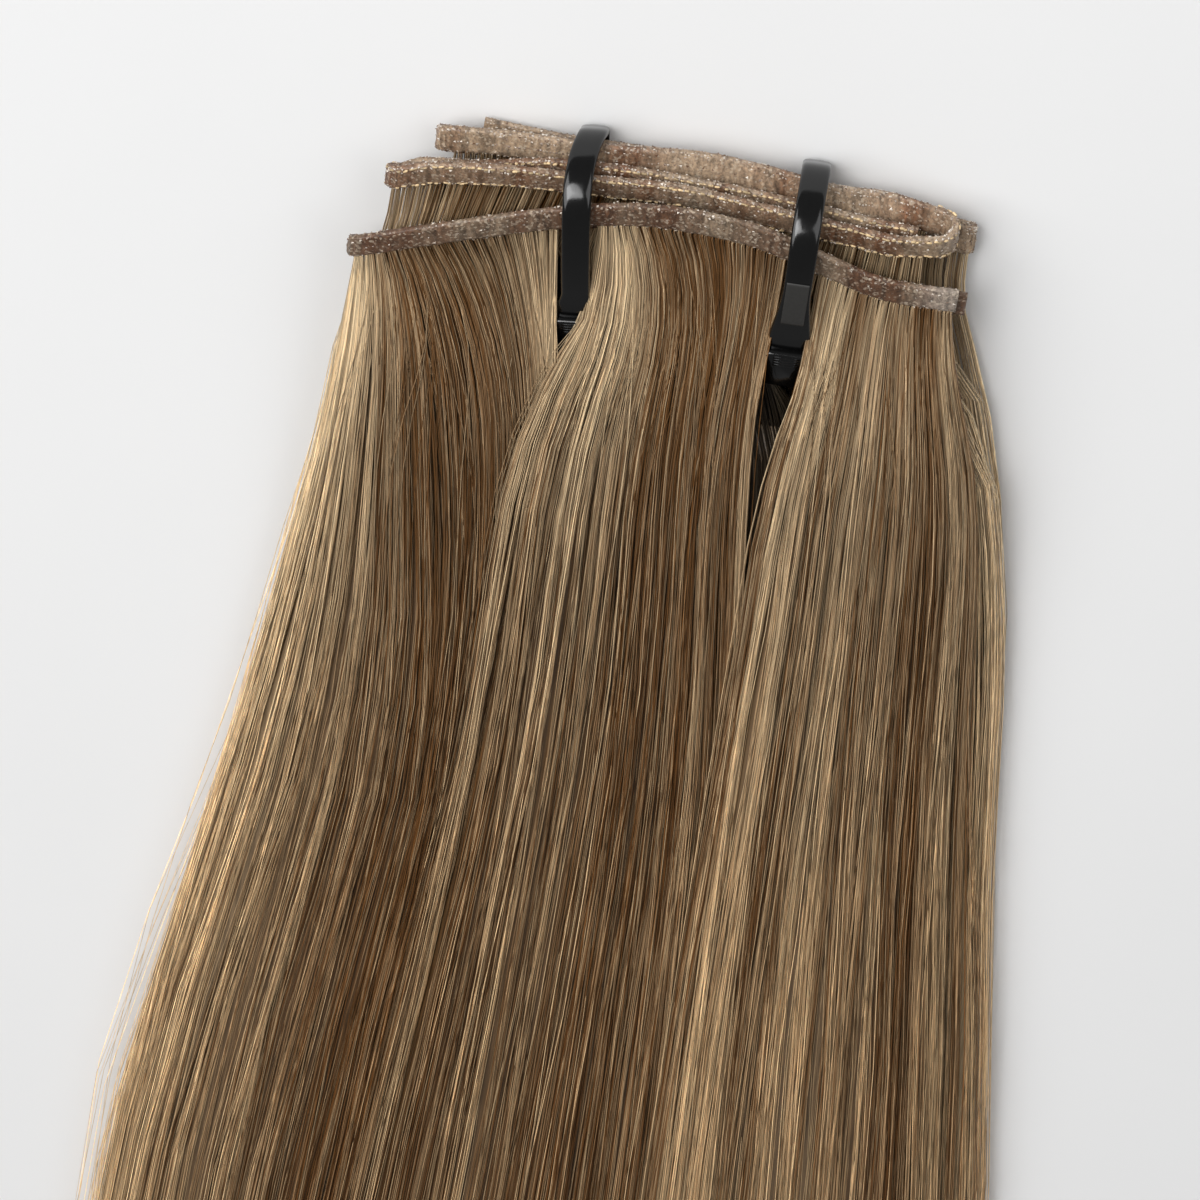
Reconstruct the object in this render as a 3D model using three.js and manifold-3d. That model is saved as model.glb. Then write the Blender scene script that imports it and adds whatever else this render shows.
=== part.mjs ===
// Hair extension on two hand-tied wefts, folded for storage, held by two cable ties and laid flat.
// Millimetres. +X runs along the weft, +Y from the hair tips to the weft, +Z up from the surface.
import * as THREE from 'three';
import { mergeVertices } from 'three/addons/utils/BufferGeometryUtils.js';
import Module from 'manifold-3d';

const wasm = await Module();
wasm.setup();

// Sizes of the weft bands
const BAND_HEIGHT = 4.0;
const BAND_THICKNESS = 1.0;
const BAND_EDGE_ROUND = 0.28;
const BAND_STEP = 4.6;
const FOLD_STEPS = 7;

// Sizes of the hair
const HAIR_LENGTH = 400;
const ROOT_HALF_THICKNESS = 0.4;
const EDGE_THINNING = 0.35;
const SEAT_GAP = 0.3;
const ROOT_GAP = 0.55;
const GROOVE_SHARE = 0.28;
const TIP_NOTCH = 12;
const TIP_SCATTER = 5;
const TIP_EDGE_SHORTENING = 14;
const TIP_LAYER_STEP = 2.5;
const MOST_LOCK_EDGES = 40;
const EDGE_POWER = 4;

// Sizes of the cable ties
const STRAP_WIDTH = 3.6;
const STRAP_THICKNESS = 1.2;
const STRAP_STEPS = 48;
const HEAD_SIZE = { x: 6.2, y: 6.2, z: 4.4 };
const HEAD_CENTRE = { y: -24.4, z: 8.0 };
const HEAD_TILT_DEG = 14;
const HEAD_CHAMFER = 0.7;
const TIE_CLEARANCE = 0.35;

// Corner points nearer than this are one point when solids are joined and cut.
const MERGE_DISTANCE = 1e-4;

// Top edge of each pass of weft, from left to right: place, and the tilt that lifts the top edge.
const PASSES = {
  back: [
    { x: -14.5, y: 0.1, z: 1.3, tilt: 2 },
    { x: -3.5, y: -0.2, z: 2.2, tilt: 2 },
    { x: 13, y: -0.4, z: 2.2, tilt: 2 },
    { x: 27, y: -1.8, z: 2.2, tilt: 2 },
    { x: 38, y: -3.7, z: 1.8, tilt: 2 },
    { x: 47.2, y: -5.2, z: 1.3, tilt: 2 },
  ],
  second: [
    { x: -18.6, y: -0.9, z: 2.8, tilt: 8 },
    { x: -3.5, y: 0.2, z: 3.65, tilt: 5 },
    { x: 13, y: 0.4, z: 3.65, tilt: 4 },
    { x: 27, y: -1.2, z: 3.6, tilt: 3 },
    { x: 38, y: -3.4, z: 3.2, tilt: 3 },
    { x: 47.2, y: -5, z: 2.75, tilt: 3 },
  ],
  third: [
    { x: -18.6, y: 0.2, z: 4.75, tilt: 14 },
    { x: -10.5, y: 0.9, z: 5.05, tilt: 12 },
    { x: 2, y: 1.1, z: 5.2, tilt: 6 },
    { x: 13, y: 1.9, z: 5.15, tilt: 1 },
    { x: 21.5, y: 1.15, z: 5.1, tilt: 0 },
    { x: 30, y: -0.35, z: 4.75, tilt: -3 },
    { x: 37, y: -0.6, z: 4.35, tilt: -6 },
    { x: 42.5, y: -1.4, z: 4.9, tilt: 4 },
  ],
  fourth: [
    { x: -24.2, y: -4.8, z: 6.2, tilt: 20 },
    { x: -14.6, y: -3, z: 6.75, tilt: 20 },
    { x: -5.1, y: -0.9, z: 7.2, tilt: 18 },
    { x: 7.4, y: -0.5, z: 7.25, tilt: 16 },
    { x: 24.4, y: -1.7, z: 7.25, tilt: 15 },
    { x: 32.8, y: -2.7, z: 7.35, tilt: 18 },
    { x: 41, y: -3.4, z: 7.4, tilt: 20 },
  ],
  fifth: [
    { x: -24.2, y: -4.6, z: 8.15, tilt: 20 },
    { x: -20, y: -3, z: 8.65, tilt: 22 },
    { x: -9.9, y: -1.7, z: 8.95, tilt: 25 },
    { x: 0, y: -1.4, z: 9.1, tilt: 27 },
    { x: 11, y: -0.9, z: 9.1, tilt: 22 },
    { x: 24.6, y: -2.4, z: 9.1, tilt: 20 },
    { x: 32.4, y: -3.3, z: 9.2, tilt: 25 },
    { x: 38.4, y: -3.8, z: 9.4, tilt: 25 },
    { x: 42.5, y: -3.4, z: 9.2, tilt: 26 },
  ],
  frontUnder: [
    { x: -28.3, y: -13.8, z: 8.75, tilt: 20 },
    { x: -15.9, y: -8.4, z: 9.9, tilt: 17 },
    { x: -3.7, y: -4.2, z: 10.4, tilt: 17 },
    { x: 7, y: -2.2, z: 10.4, tilt: 14 },
    { x: 20, y: -2.7, z: 10.4, tilt: 10 },
    { x: 29.3, y: -5.4, z: 10.3, tilt: 12 },
    { x: 37.6, y: -8.3, z: 9.95, tilt: 18 },
    { x: 48.9, y: -9.9, z: 9.5, tilt: 16 },
  ],
  frontOver: [
    { x: -28.3, y: -14.3, z: 10.25, tilt: 22 },
    { x: -15.9, y: -9.2, z: 11.35, tilt: 19 },
    { x: -3.7, y: -5, z: 11.7, tilt: 13 },
    { x: 7, y: -2.75, z: 11.75, tilt: 8 },
    { x: 20, y: -3.3, z: 11.75, tilt: 4 },
    { x: 29.3, y: -6.1, z: 11.7, tilt: 9 },
    { x: 37.6, y: -8.9, z: 11.4, tilt: 20 },
    { x: 47.1, y: -9.4, z: 11, tilt: 16 },
  ],
};

// The order in which each strip is folded, with how far each fold bulges past the pass ends.
const MAIN_STRIP = [
  { pass: 'fourth', towards: 'left', bulge: 0.8 },
  { pass: 'fifth', towards: 'right', bulge: 3.1 },
  { pass: 'third', towards: 'left', bulge: 0.8 },
  { pass: 'second', towards: 'right', bulge: 0.8 },
  { pass: 'back', towards: 'left' },
];
const FRONT_STRIP = [
  { pass: 'frontUnder', towards: 'left', bulge: 0.7 },
  { pass: 'frontOver', towards: 'right' },
];

// Outline of all the hair on the surface.
const OUTLINE = [
  { y: -8, left: -29, right: 48 },
  { y: -20, left: -29.3, right: 51 },
  { y: -45, left: -30.7, right: 56.5 },
  { y: -70, left: -33.8, right: 60.5 },
  { y: -108, left: -39, right: 64.3 },
  { y: -147, left: -45.8, right: 69.5 },
  { y: -180, left: -49.5, right: 73 },
  { y: -260, left: -54, right: 77 },
  { y: -340, left: -53, right: 76 },
  { y: -412, left: -49, right: 72 },
];

// Where the front hair parts: right edge of the left group and both inner edges of the others.
const PARTINGS = [
  { y: -8, leftGroup: -4.6, middleStart: 1.9, middleEnd: 24.2, rightGroup: 29.6 },
  { y: -17, leftGroup: -4.5, middleStart: 1.5, middleEnd: 23.8, rightGroup: 29.5 },
  { y: -30, leftGroup: -4, middleStart: -2.8, middleEnd: 24.3, rightGroup: 28.9 },
  { y: -42, leftGroup: -1.5, middleStart: -6.2, middleEnd: 25.5, rightGroup: 26.8 },
  { y: -60, leftGroup: 1, middleStart: -6.9, middleEnd: 28, rightGroup: 26.5 },
  { y: -93, leftGroup: 4, middleStart: -5.8, middleEnd: 34, rightGroup: 26.8 },
  { y: -161, leftGroup: 8, middleStart: -4.5, middleEnd: 40, rightGroup: 31.3 },
  { y: -260, leftGroup: 10, middleStart: -4, middleEnd: 44, rightGroup: 35 },
  { y: -412, leftGroup: 10, middleStart: -2, middleEnd: 43, rightGroup: 36 },
];

// Thickness of one curtain of the main strip and of the double front hair, along the length.
const THICKNESS = [
  { y: -8, main: 0.85, front: 2.1 },
  { y: -30, main: 0.95, front: 2.2 },
  { y: -80, main: 1.1, front: 2 },
  { y: -160, main: 1.05, front: 1.7 },
  { y: -290, main: 0.8, front: 1.2 },
  { y: -412, main: 0.35, front: 0.5 },
];

// The hair settles from the height of the weft to the surface between these two lines.
const SETTLE_START_Y = -20;
const SETTLE_END_Y = -80;

// Rows of each hair curtain between its root and its tips.
const ROW_Y = [-24, -36, -52, -75, -105, -150, -205, -270, -335];

// The curtains of the main strip from the surface up: the pass each hangs from, its ends there, and the
// lengths over which its left and right edges reach the full outline.
const MAIN_HAIR = [
  { name: 'hair_back', pass: 'back', left: -14, right: 46.8, fanLeft: 95, fanRight: 30, locks: 8 },
  { name: 'hair_second', pass: 'second', left: -18, right: 46.8, fanLeft: 80, fanRight: 30, locks: 8 },
  { name: 'hair_third', pass: 'third', left: -18, right: 42, fanLeft: 70, fanRight: 40, locks: 8 },
  { name: 'hair_fourth', pass: 'fourth', left: -23.6, right: 40.6, fanLeft: 30, fanRight: 40, locks: 8 },
  { name: 'hair_fifth', pass: 'fifth', left: -23.8, right: 42.2, fanLeft: 24, fanRight: 36, locks: 10 },
];

// The groups of the front strip's hair, each over the one before it where they overlap.
const FRONT_HAIR = [
  { name: 'hair_front_left', left: -28, right: -4.8, locks: 13 },
  { name: 'hair_front_middle', left: 2, right: 24, locks: 11 },
  { name: 'hair_front_right', left: 29.8, right: 46.8, locks: 13 },
];
const CURTAINS = [
  ...MAIN_HAIR.map((row) => ({ ...row, front: false, under: row.pass, over: row.pass })),
  ...FRONT_HAIR.map((row) => ({ ...row, front: true, under: 'frontUnder', over: 'frontOver' })),
];

// How far a curtain holds up the ones above it beyond its own edge, and where that support ends.
const MAIN_SUPPORT = { full: 8, end: 18 };
const FRONT_SUPPORT = { full: 3.5, end: 8 };

// Loop of a tie seen from its side: up behind the weft, over it, down into the head and back below.
// Stray is the share of the tie's sideways slip at that place.
const TIE_LOOP = [
  { y: -4.5, z: 0.6, stray: 0.8 },
  { y: -1.4, z: 0.6, stray: 0.95 },
  { y: 0.4, z: 1.05, stray: 1 },
  { y: 1.3, z: 2.8, stray: 1 },
  { y: 2, z: 5, stray: 0.85 },
  { y: 1.7, z: 7.4, stray: 0.5 },
  { y: 0.4, z: 9.9, stray: 0.15 },
  { y: -1.6, z: 12, stray: 0 },
  { y: -4.2, z: 13.2, stray: 0 },
  { y: -7.5, z: 13.3, stray: 0 },
  { y: -11.5, z: 12.6, stray: 0 },
  { y: -15.5, z: 11.5, stray: 0 },
  { y: -19.5, z: 10.1, stray: 0 },
  { y: -22.6, z: 9, stray: 0 },
  { y: -24.4, z: 7.5, stray: 0 },
  { y: -24.7, z: 5, stray: 0 },
  { y: -24.4, z: 2.4, stray: 0 },
  { y: -22.6, z: 0.7, stray: 0.1 },
  { y: -19, z: 0.6, stray: 0.25 },
  { y: -11, z: 0.6, stray: 0.55 },
];
const TIES = [
  { name: 'cable_tie_left', x: -1.9, y: 0, lean: -0.09, slip: 1.3 },
  { name: 'cable_tie_right', x: 27.1, y: -0.55, lean: 0, slip: 0.3 },
];

// Colours and finishes
const weftCoating = new THREE.MeshStandardMaterial({ color: 0x7a6148, roughness: 0.5, metalness: 0 });
const hairFibre = new THREE.MeshStandardMaterial({ color: 0x8a6d4c, roughness: 0.45, metalness: 0 });
const blackNylon = new THREE.MeshStandardMaterial({ color: 0x161616, roughness: 0.3, metalness: 0 });

// Smooth step from 0 to 1 as t goes from 0 to 1.
function ease(t) {
  const c = Math.min(Math.max(t, 0), 1);
  return c * c * (3 - 2 * c);
}

function mix(a, b, t) {
  return a + (b - a) * t;
}

// A repeatable scatter between -1 and 1 for the lock with this number.
function scatter(number) {
  return 2 * THREE.MathUtils.seededRandom(number + 1) - 1;
}

// Reads one column of a table at a place between its rows, along a smooth curve.
function readTable(rows, key, column, at) {
  const rising = rows[rows.length - 1][key] > rows[0][key];
  const place = rising ? at : -at;
  const keys = rows.map((row) => (rising ? row[key] : -row[key]));
  const last = rows.length - 1;
  if (place <= keys[0]) return rows[0][column];
  if (place >= keys[last]) return rows[last][column];
  let i = 0;
  while (keys[i + 1] < place) i += 1;
  const slopeAt = (k) => {
    const before = Math.max(k - 1, 0);
    const after = Math.min(k + 1, last);
    return (rows[after][column] - rows[before][column]) / (keys[after] - keys[before]);
  };
  const span = keys[i + 1] - keys[i];
  const t = (place - keys[i]) / span;
  const start = rows[i][column];
  const end = rows[i + 1][column];
  const rise = (1 - t) * (1 - t) * t * span * slopeAt(i);
  const fall = t * t * (1 - t) * span * slopeAt(i + 1);
  return mix(start, end, ease(t)) + rise - fall;
}

// A closed mesh from corner points and triangles, turned outwards.
function closedMesh(points, triangles) {
  let volume = 0;
  const cross = new THREE.Vector3();
  for (const [a, b, c] of triangles) {
    volume += points[a].dot(cross.crossVectors(points[b], points[c]));
  }
  const index = triangles.flatMap(([a, b, c]) => (volume > 0 ? [a, b, c] : [a, c, b]));
  const geometry = new THREE.BufferGeometry();
  geometry.setFromPoints(points);
  geometry.setIndex(index);
  return geometry;
}

// Joins rings of equal length into a tube, closed on itself or capped at its two ends.
function loftRings(rings, closed) {
  const size = rings[0].length;
  const count = rings.length;
  const points = rings.flat();
  const triangles = [];
  const steps = closed ? count : count - 1;
  for (let i = 0; i < steps; i += 1) {
    const next = (i + 1) % count;
    for (let k = 0; k < size; k += 1) {
      const k2 = (k + 1) % size;
      const a = i * size + k;
      const b = i * size + k2;
      const c = next * size + k2;
      const d = next * size + k;
      triangles.push([a, b, c], [a, c, d]);
    }
  }
  if (!closed) {
    const end = (count - 1) * size;
    for (let k = 1; k < size - 1; k += 1) {
      triangles.push([0, k + 1, k], [end, end + k, end + k + 1]);
    }
  }
  return closedMesh(points, triangles);
}

// A rectangle with cut corners, as pairs of distances along its two directions.
function cutRectangle(width, height, cut) {
  const a = width / 2;
  const b = height / 2;
  return [
    [a, cut - b], [a, b - cut], [a - cut, b], [cut - a, b],
    [-a, b - cut], [-a, cut - b], [cut - a, -b], [a - cut, -b],
  ];
}

// Direction from the lower to the top edge of a band with this tilt.
function bandUp(tilt) {
  const angle = THREE.MathUtils.degToRad(tilt);
  return new THREE.Vector3(0, Math.cos(angle), Math.sin(angle));
}

// Middle of a pass at one place along the weft, with its tilt.
function passAt(pass, x) {
  const rows = PASSES[pass];
  const tilt = readTable(rows, 'x', 'tilt', x);
  const top = new THREE.Vector3(x, readTable(rows, 'x', 'y', x), readTable(rows, 'x', 'z', x));
  return { point: top.addScaledVector(bandUp(tilt), -BAND_HEIGHT / 2), tilt };
}

// Stations along a folded strip: each pass, then the round fold into the next one.
function stripStations(strip) {
  const stations = [];
  strip.forEach(({ pass, towards, bulge }, i) => {
    const rows = PASSES[pass];
    const low = rows[0].x;
    const high = rows[rows.length - 1].x;
    const steps = Math.round((high - low) / BAND_STEP);
    for (let k = 0; k <= steps; k += 1) {
      const t = towards === 'right' ? k / steps : 1 - k / steps;
      stations.push(passAt(pass, mix(low, high, t)));
    }
    if (i === strip.length - 1) return;
    const from = stations[stations.length - 1];
    const nextRows = PASSES[strip[i + 1].pass];
    const nextX = towards === 'right' ? nextRows[nextRows.length - 1].x : nextRows[0].x;
    const to = passAt(strip[i + 1].pass, nextX);
    const side = towards === 'right' ? 1 : -1;
    for (let k = 1; k < FOLD_STEPS; k += 1) {
      const angle = (Math.PI * k) / FOLD_STEPS;
      const share = (1 - Math.cos(angle)) / 2;
      const point = from.point.clone().lerp(to.point, share);
      point.x += side * bulge * Math.sin(angle);
      stations.push({ point, tilt: mix(from.tilt, to.tilt, share) });
    }
  });
  return stations;
}

// A weft band: its rounded flat section carried along the folded strip.
function weftBand(name, strip) {
  const stations = stripStations(strip);
  const section = cutRectangle(BAND_HEIGHT, BAND_THICKNESS, BAND_EDGE_ROUND);
  const last = stations.length - 1;
  const rings = stations.map(({ point, tilt }, i) => {
    const ahead = stations[Math.min(i + 1, last)].point;
    const behind = stations[Math.max(i - 1, 0)].point;
    const along = ahead.clone().sub(behind).normalize();
    const up = bandUp(tilt);
    up.addScaledVector(along, -up.dot(along)).normalize();
    const out = new THREE.Vector3().crossVectors(along, up);
    return section.map(([u, v]) => point.clone().addScaledVector(up, u).addScaledVector(out, v));
  });
  return named(name, loftRings(rings, false), weftCoating);
}

function named(name, geometry, material) {
  const mesh = new THREE.Mesh(geometry, material);
  mesh.name = name;
  return mesh;
}

// Left and right edge of a curtain at a distance along the hair.
function curtainEdges(curtain, y) {
  const left = readTable(OUTLINE, 'y', 'left', y);
  const right = readTable(OUTLINE, 'y', 'right', y);
  const parting = (column) => readTable(PARTINGS, 'y', column, y);
  if (curtain.name === 'hair_front_left') return [left, parting('leftGroup')];
  if (curtain.name === 'hair_front_middle') return [parting('middleStart'), parting('middleEnd')];
  if (curtain.name === 'hair_front_right') return [parting('rightGroup'), right];
  const down = OUTLINE[0].y - y;
  return [
    mix(curtain.left, left, ease(down / curtain.fanLeft)),
    mix(curtain.right, right, ease(down / curtain.fanRight)),
  ];
}

// Thickness of a curtain at a place, thinner towards its edges.
function curtainThickness(curtain, x, y) {
  const [left, right] = curtainEdges(curtain, y);
  const across = Math.min(Math.max((x - left) / (right - left), 0), 1);
  const fullness = 1 - (2 * across - 1) ** EDGE_POWER;
  const column = curtain.front ? 'front' : 'main';
  return readTable(THICKNESS, 'y', column, y) * mix(EDGE_THINNING, 1, fullness);
}

// Height by which a curtain lifts what lies on it, fading out beyond its edges.
function curtainSupport(curtain, x, y) {
  const [left, right] = curtainEdges(curtain, y);
  const outside = Math.max(left - x, x - right, 0);
  const reach = curtain.front ? FRONT_SUPPORT : MAIN_SUPPORT;
  const held = 1 - ease((outside - reach.full) / (reach.end - reach.full));
  return held * (curtainThickness(curtain, x, y) + SEAT_GAP);
}

// Middle of a pass's lower edge, moved clear of the band and across its thickness.
function rootPoint(pass, x, side) {
  const { point, tilt } = passAt(pass, x);
  const ahead = passAt(pass, x + BAND_STEP / 2).point;
  const along = ahead.sub(passAt(pass, x - BAND_STEP / 2).point).normalize();
  const up = bandUp(tilt);
  up.addScaledVector(along, -up.dot(along)).normalize();
  const across = new THREE.Vector3().crossVectors(along, up);
  point.addScaledVector(up, -BAND_HEIGHT / 2 - ROOT_GAP);
  return point.addScaledVector(across, side * ROOT_HALF_THICKNESS);
}

// Underside of a curtain while the weft still holds it up.
function heldHeight(order, x, y) {
  const curtain = CURTAINS[order];
  const like = CURTAINS.filter((other) => other.under === curtain.under);
  const low = like[0].left;
  const high = like[like.length - 1].right;
  let height = rootPoint(curtain.under, Math.min(Math.max(x, low), high), -1).z;
  if (curtain.front) {
    const below = CURTAINS.slice(0, order).filter((other) => other.front);
    for (const other of below) height += curtainSupport(other, x, y);
  }
  return height;
}

// Underside of a curtain once it lies on the surface or on the curtains below it.
function lyingHeight(order, x, y) {
  let height = 0;
  for (const other of CURTAINS.slice(0, order)) height += curtainSupport(other, x, y);
  return height;
}

// Underside and top of a curtain anywhere between its root and its tips.
function curtainHeights(order, x, y) {
  const curtain = CURTAINS[order];
  const settled = ease((SETTLE_START_Y - y) / (SETTLE_START_Y - SETTLE_END_Y));
  const thickness = curtainThickness(curtain, x, y);
  const held = heldHeight(order, x, y);
  const lying = lyingHeight(order, x, y);
  const above = CURTAINS[order + 1];
  let heldTop = held + thickness;
  if (above && !curtain.front) heldTop = Math.min(heldTop, heldHeight(order + 1, x, y) - SEAT_GAP);
  return {
    under: mix(held, lying, settled),
    over: mix(heldTop, lying + thickness, settled),
  };
}

// A hair curtain: locks fused side by side, from the lower edge of the weft to their notched tips.
function hairCurtain(order) {
  const curtain = CURTAINS[order];
  const columns = curtain.locks * 2;
  const underRows = [];
  const overRows = [];
  for (let row = 0; row <= ROW_Y.length + 1; row += 1) {
    const under = [];
    const over = [];
    for (let column = 0; column <= columns; column += 1) {
      const across = column / columns;
      const between = column % 2 === 0;
      if (row === 0) {
        const x = mix(curtain.left, curtain.right, across);
        under.push(rootPoint(curtain.under, x, -1));
        over.push(rootPoint(curtain.over, x, 1));
        continue;
      }
      const y = row <= ROW_Y.length ? ROW_Y[row - 1] : tipPlace(order, column, across);
      const [left, right] = curtainEdges(curtain, y);
      const x = mix(left, right, across);
      const heights = curtainHeights(order, x, y);
      const groove = between ? GROOVE_SHARE * (heights.over - heights.under) : 0;
      under.push(new THREE.Vector3(x, y, heights.under));
      over.push(new THREE.Vector3(x, y, heights.over - groove));
    }
    underRows.push(under);
    overRows.push(over);
  }
  const rings = underRows.map((under, row) => [...under, ...overRows[row].reverse()]);
  return loftSheet(rings, columns + 1);
}

// End of a lock: longest at its middle, notched between locks and shorter at the curtain's edges.
function tipPlace(order, column, across) {
  const reach = HAIR_LENGTH - TIP_LAYER_STEP * order;
  const notch = column % 2 === 0 ? TIP_NOTCH : 0;
  const edge = TIP_EDGE_SHORTENING * (2 * across - 1) ** EDGE_POWER;
  return -reach + notch + edge + TIP_SCATTER * scatter(order * MOST_LOCK_EDGES + column);
}

// Joins flat rings, each an underside row followed by a reversed top row, with strip end caps.
function loftSheet(rings, width) {
  const size = rings[0].length;
  const points = rings.flat();
  const triangles = [];
  for (let i = 0; i < rings.length - 1; i += 1) {
    for (let k = 0; k < size; k += 1) {
      const k2 = (k + 1) % size;
      const a = i * size + k;
      const b = i * size + k2;
      const c = a + size;
      const d = b + size;
      triangles.push([a, b, d], [a, d, c]);
    }
  }
  const end = (rings.length - 1) * size;
  for (let k = 0; k < width - 1; k += 1) {
    const under = k;
    const over = size - 1 - k;
    triangles.push([under, over, over - 1], [under, over - 1, under + 1]);
    triangles.push([end + under, end + over - 1, end + over], [end + under, end + under + 1, end + over - 1]);
  }
  return closedMesh(points, triangles);
}

// The strap of a tie as a closed loop, grown by a clearance where it is used as a cutter.
function tieStrap(tie, grow) {
  const loop = TIE_LOOP.map(({ y, z, stray }) => (
    new THREE.Vector3(tie.x + tie.lean * y + tie.slip * stray, y + tie.y, z)
  ));
  const curve = new THREE.CatmullRomCurve3(loop, true);
  const halfWidth = STRAP_WIDTH / 2 + grow;
  const halfThickness = STRAP_THICKNESS / 2 + grow;
  const acrossStrap = new THREE.Vector3(1, -tie.lean, 0).normalize();
  const rings = [];
  for (let i = 0; i < STRAP_STEPS; i += 1) {
    const share = i / STRAP_STEPS;
    const point = curve.getPointAt(share);
    point.z = Math.max(point.z, STRAP_THICKNESS / 2);
    const out = new THREE.Vector3().crossVectors(acrossStrap, curve.getTangentAt(share));
    const corners = [[1, 1], [-1, 1], [-1, -1], [1, -1]];
    rings.push(corners.map(([u, v]) => point.clone()
      .addScaledVector(acrossStrap, u * halfWidth)
      .addScaledVector(out, v * halfThickness)));
  }
  return loftRings(rings, true);
}

// The head of a tie: a block with cut edges, sloping with the strap that leaves it.
function tieHead(tie, grow) {
  const outline = cutRectangle(HEAD_SIZE.x + 2 * grow, HEAD_SIZE.y + 2 * grow, HEAD_CHAMFER);
  const half = HEAD_SIZE.z / 2 + grow;
  const inset = 1 - HEAD_CHAMFER / HEAD_SIZE.x;
  const turn = new THREE.Euler(THREE.MathUtils.degToRad(HEAD_TILT_DEG), 0, -Math.atan(tie.lean), 'ZXY');
  const headX = tie.x + tie.lean * HEAD_CENTRE.y;
  const centre = new THREE.Vector3(headX, HEAD_CENTRE.y + tie.y, HEAD_CENTRE.z);
  const levels = [
    { z: -half, scale: inset },
    { z: HEAD_CHAMFER / 2 - half, scale: 1 },
    { z: half - HEAD_CHAMFER / 2, scale: 1 },
    { z: half, scale: inset },
  ];
  const rings = levels.map(({ z, scale }) => outline.map(([u, v]) => (
    new THREE.Vector3(u * scale, v * scale, z).applyEuler(turn).add(centre)
  )));
  return loftRings(rings, false);
}

// A geometry as a solid that can be joined and cut.
function toSolid(geometry) {
  const merged = mergeVertices(geometry, MERGE_DISTANCE);
  return new wasm.Manifold(new wasm.Mesh({
    numProp: 3,
    vertProperties: new Float32Array(merged.attributes.position.array),
    triVerts: new Uint32Array(merged.index.array),
  }));
}

function toGeometry(solid) {
  const mesh = solid.getMesh();
  const geometry = new THREE.BufferGeometry();
  geometry.setAttribute('position', new THREE.BufferAttribute(mesh.vertProperties, 3));
  geometry.setIndex(new THREE.BufferAttribute(mesh.triVerts, 1));
  return geometry;
}

// A cable tie: strap loop and head in one moulding.
function cableTie(tie) {
  const solid = toSolid(tieStrap(tie, 0)).add(toSolid(tieHead(tie, 0)));
  return named(tie.name, toGeometry(solid), blackNylon);
}

// The hair of one curtain with the room that the ties take up cut away.
function partedHair(order, cutters) {
  let solid = toSolid(hairCurtain(order));
  for (const cutter of cutters) solid = solid.subtract(cutter);
  return named(CURTAINS[order].name, toGeometry(solid), hairFibre);
}

// The whole object, with its origin on the surface under the middle of its box.
const cutters = TIES.flatMap((tie) => [
  toSolid(tieStrap(tie, TIE_CLEARANCE)),
  toSolid(tieHead(tie, TIE_CLEARANCE)),
]);
const group = new THREE.Group();
group.add(weftBand('weft_band_main', MAIN_STRIP));
group.add(weftBand('weft_band_front', FRONT_STRIP));
for (const order of CURTAINS.keys()) group.add(partedHair(order, cutters));
TIES.forEach((tie) => group.add(cableTie(tie)));
const box = new THREE.Box3().setFromObject(group);
const middle = box.getCenter(new THREE.Vector3());
group.position.set(-middle.x, -middle.y, -box.min.z);

export default group;
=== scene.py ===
from typing import NamedTuple

import bpy
import numpy as np
from mathutils import Matrix, Vector


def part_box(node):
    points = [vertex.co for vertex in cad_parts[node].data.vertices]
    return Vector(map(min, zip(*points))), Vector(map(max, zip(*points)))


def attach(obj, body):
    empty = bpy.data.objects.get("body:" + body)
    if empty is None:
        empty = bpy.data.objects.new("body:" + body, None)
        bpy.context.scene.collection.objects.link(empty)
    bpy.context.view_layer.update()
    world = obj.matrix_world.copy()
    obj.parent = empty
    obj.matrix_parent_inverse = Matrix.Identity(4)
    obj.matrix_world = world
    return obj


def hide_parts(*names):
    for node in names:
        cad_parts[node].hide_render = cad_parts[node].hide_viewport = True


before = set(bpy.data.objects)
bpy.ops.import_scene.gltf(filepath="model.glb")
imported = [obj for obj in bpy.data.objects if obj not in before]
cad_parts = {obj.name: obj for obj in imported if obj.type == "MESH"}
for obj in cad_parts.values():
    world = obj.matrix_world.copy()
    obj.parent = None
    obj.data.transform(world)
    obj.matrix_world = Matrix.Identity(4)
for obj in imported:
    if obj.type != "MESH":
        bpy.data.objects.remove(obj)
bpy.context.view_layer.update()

bl_info = {
    "name": "Weft hair extension",
    "version": (1, 0, 0),
    "blender": (4, 5, 0),
    "location": "View3D > Sidebar > Weft hair",
    "description": "Strands, coated weft bands and cable ties of a straight hair extension laid flat",
    "category": "Object",
}

# Tables are in millimetres, with x along the weft, y from the tips to the weft and z up.
MM = 0.001

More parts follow.
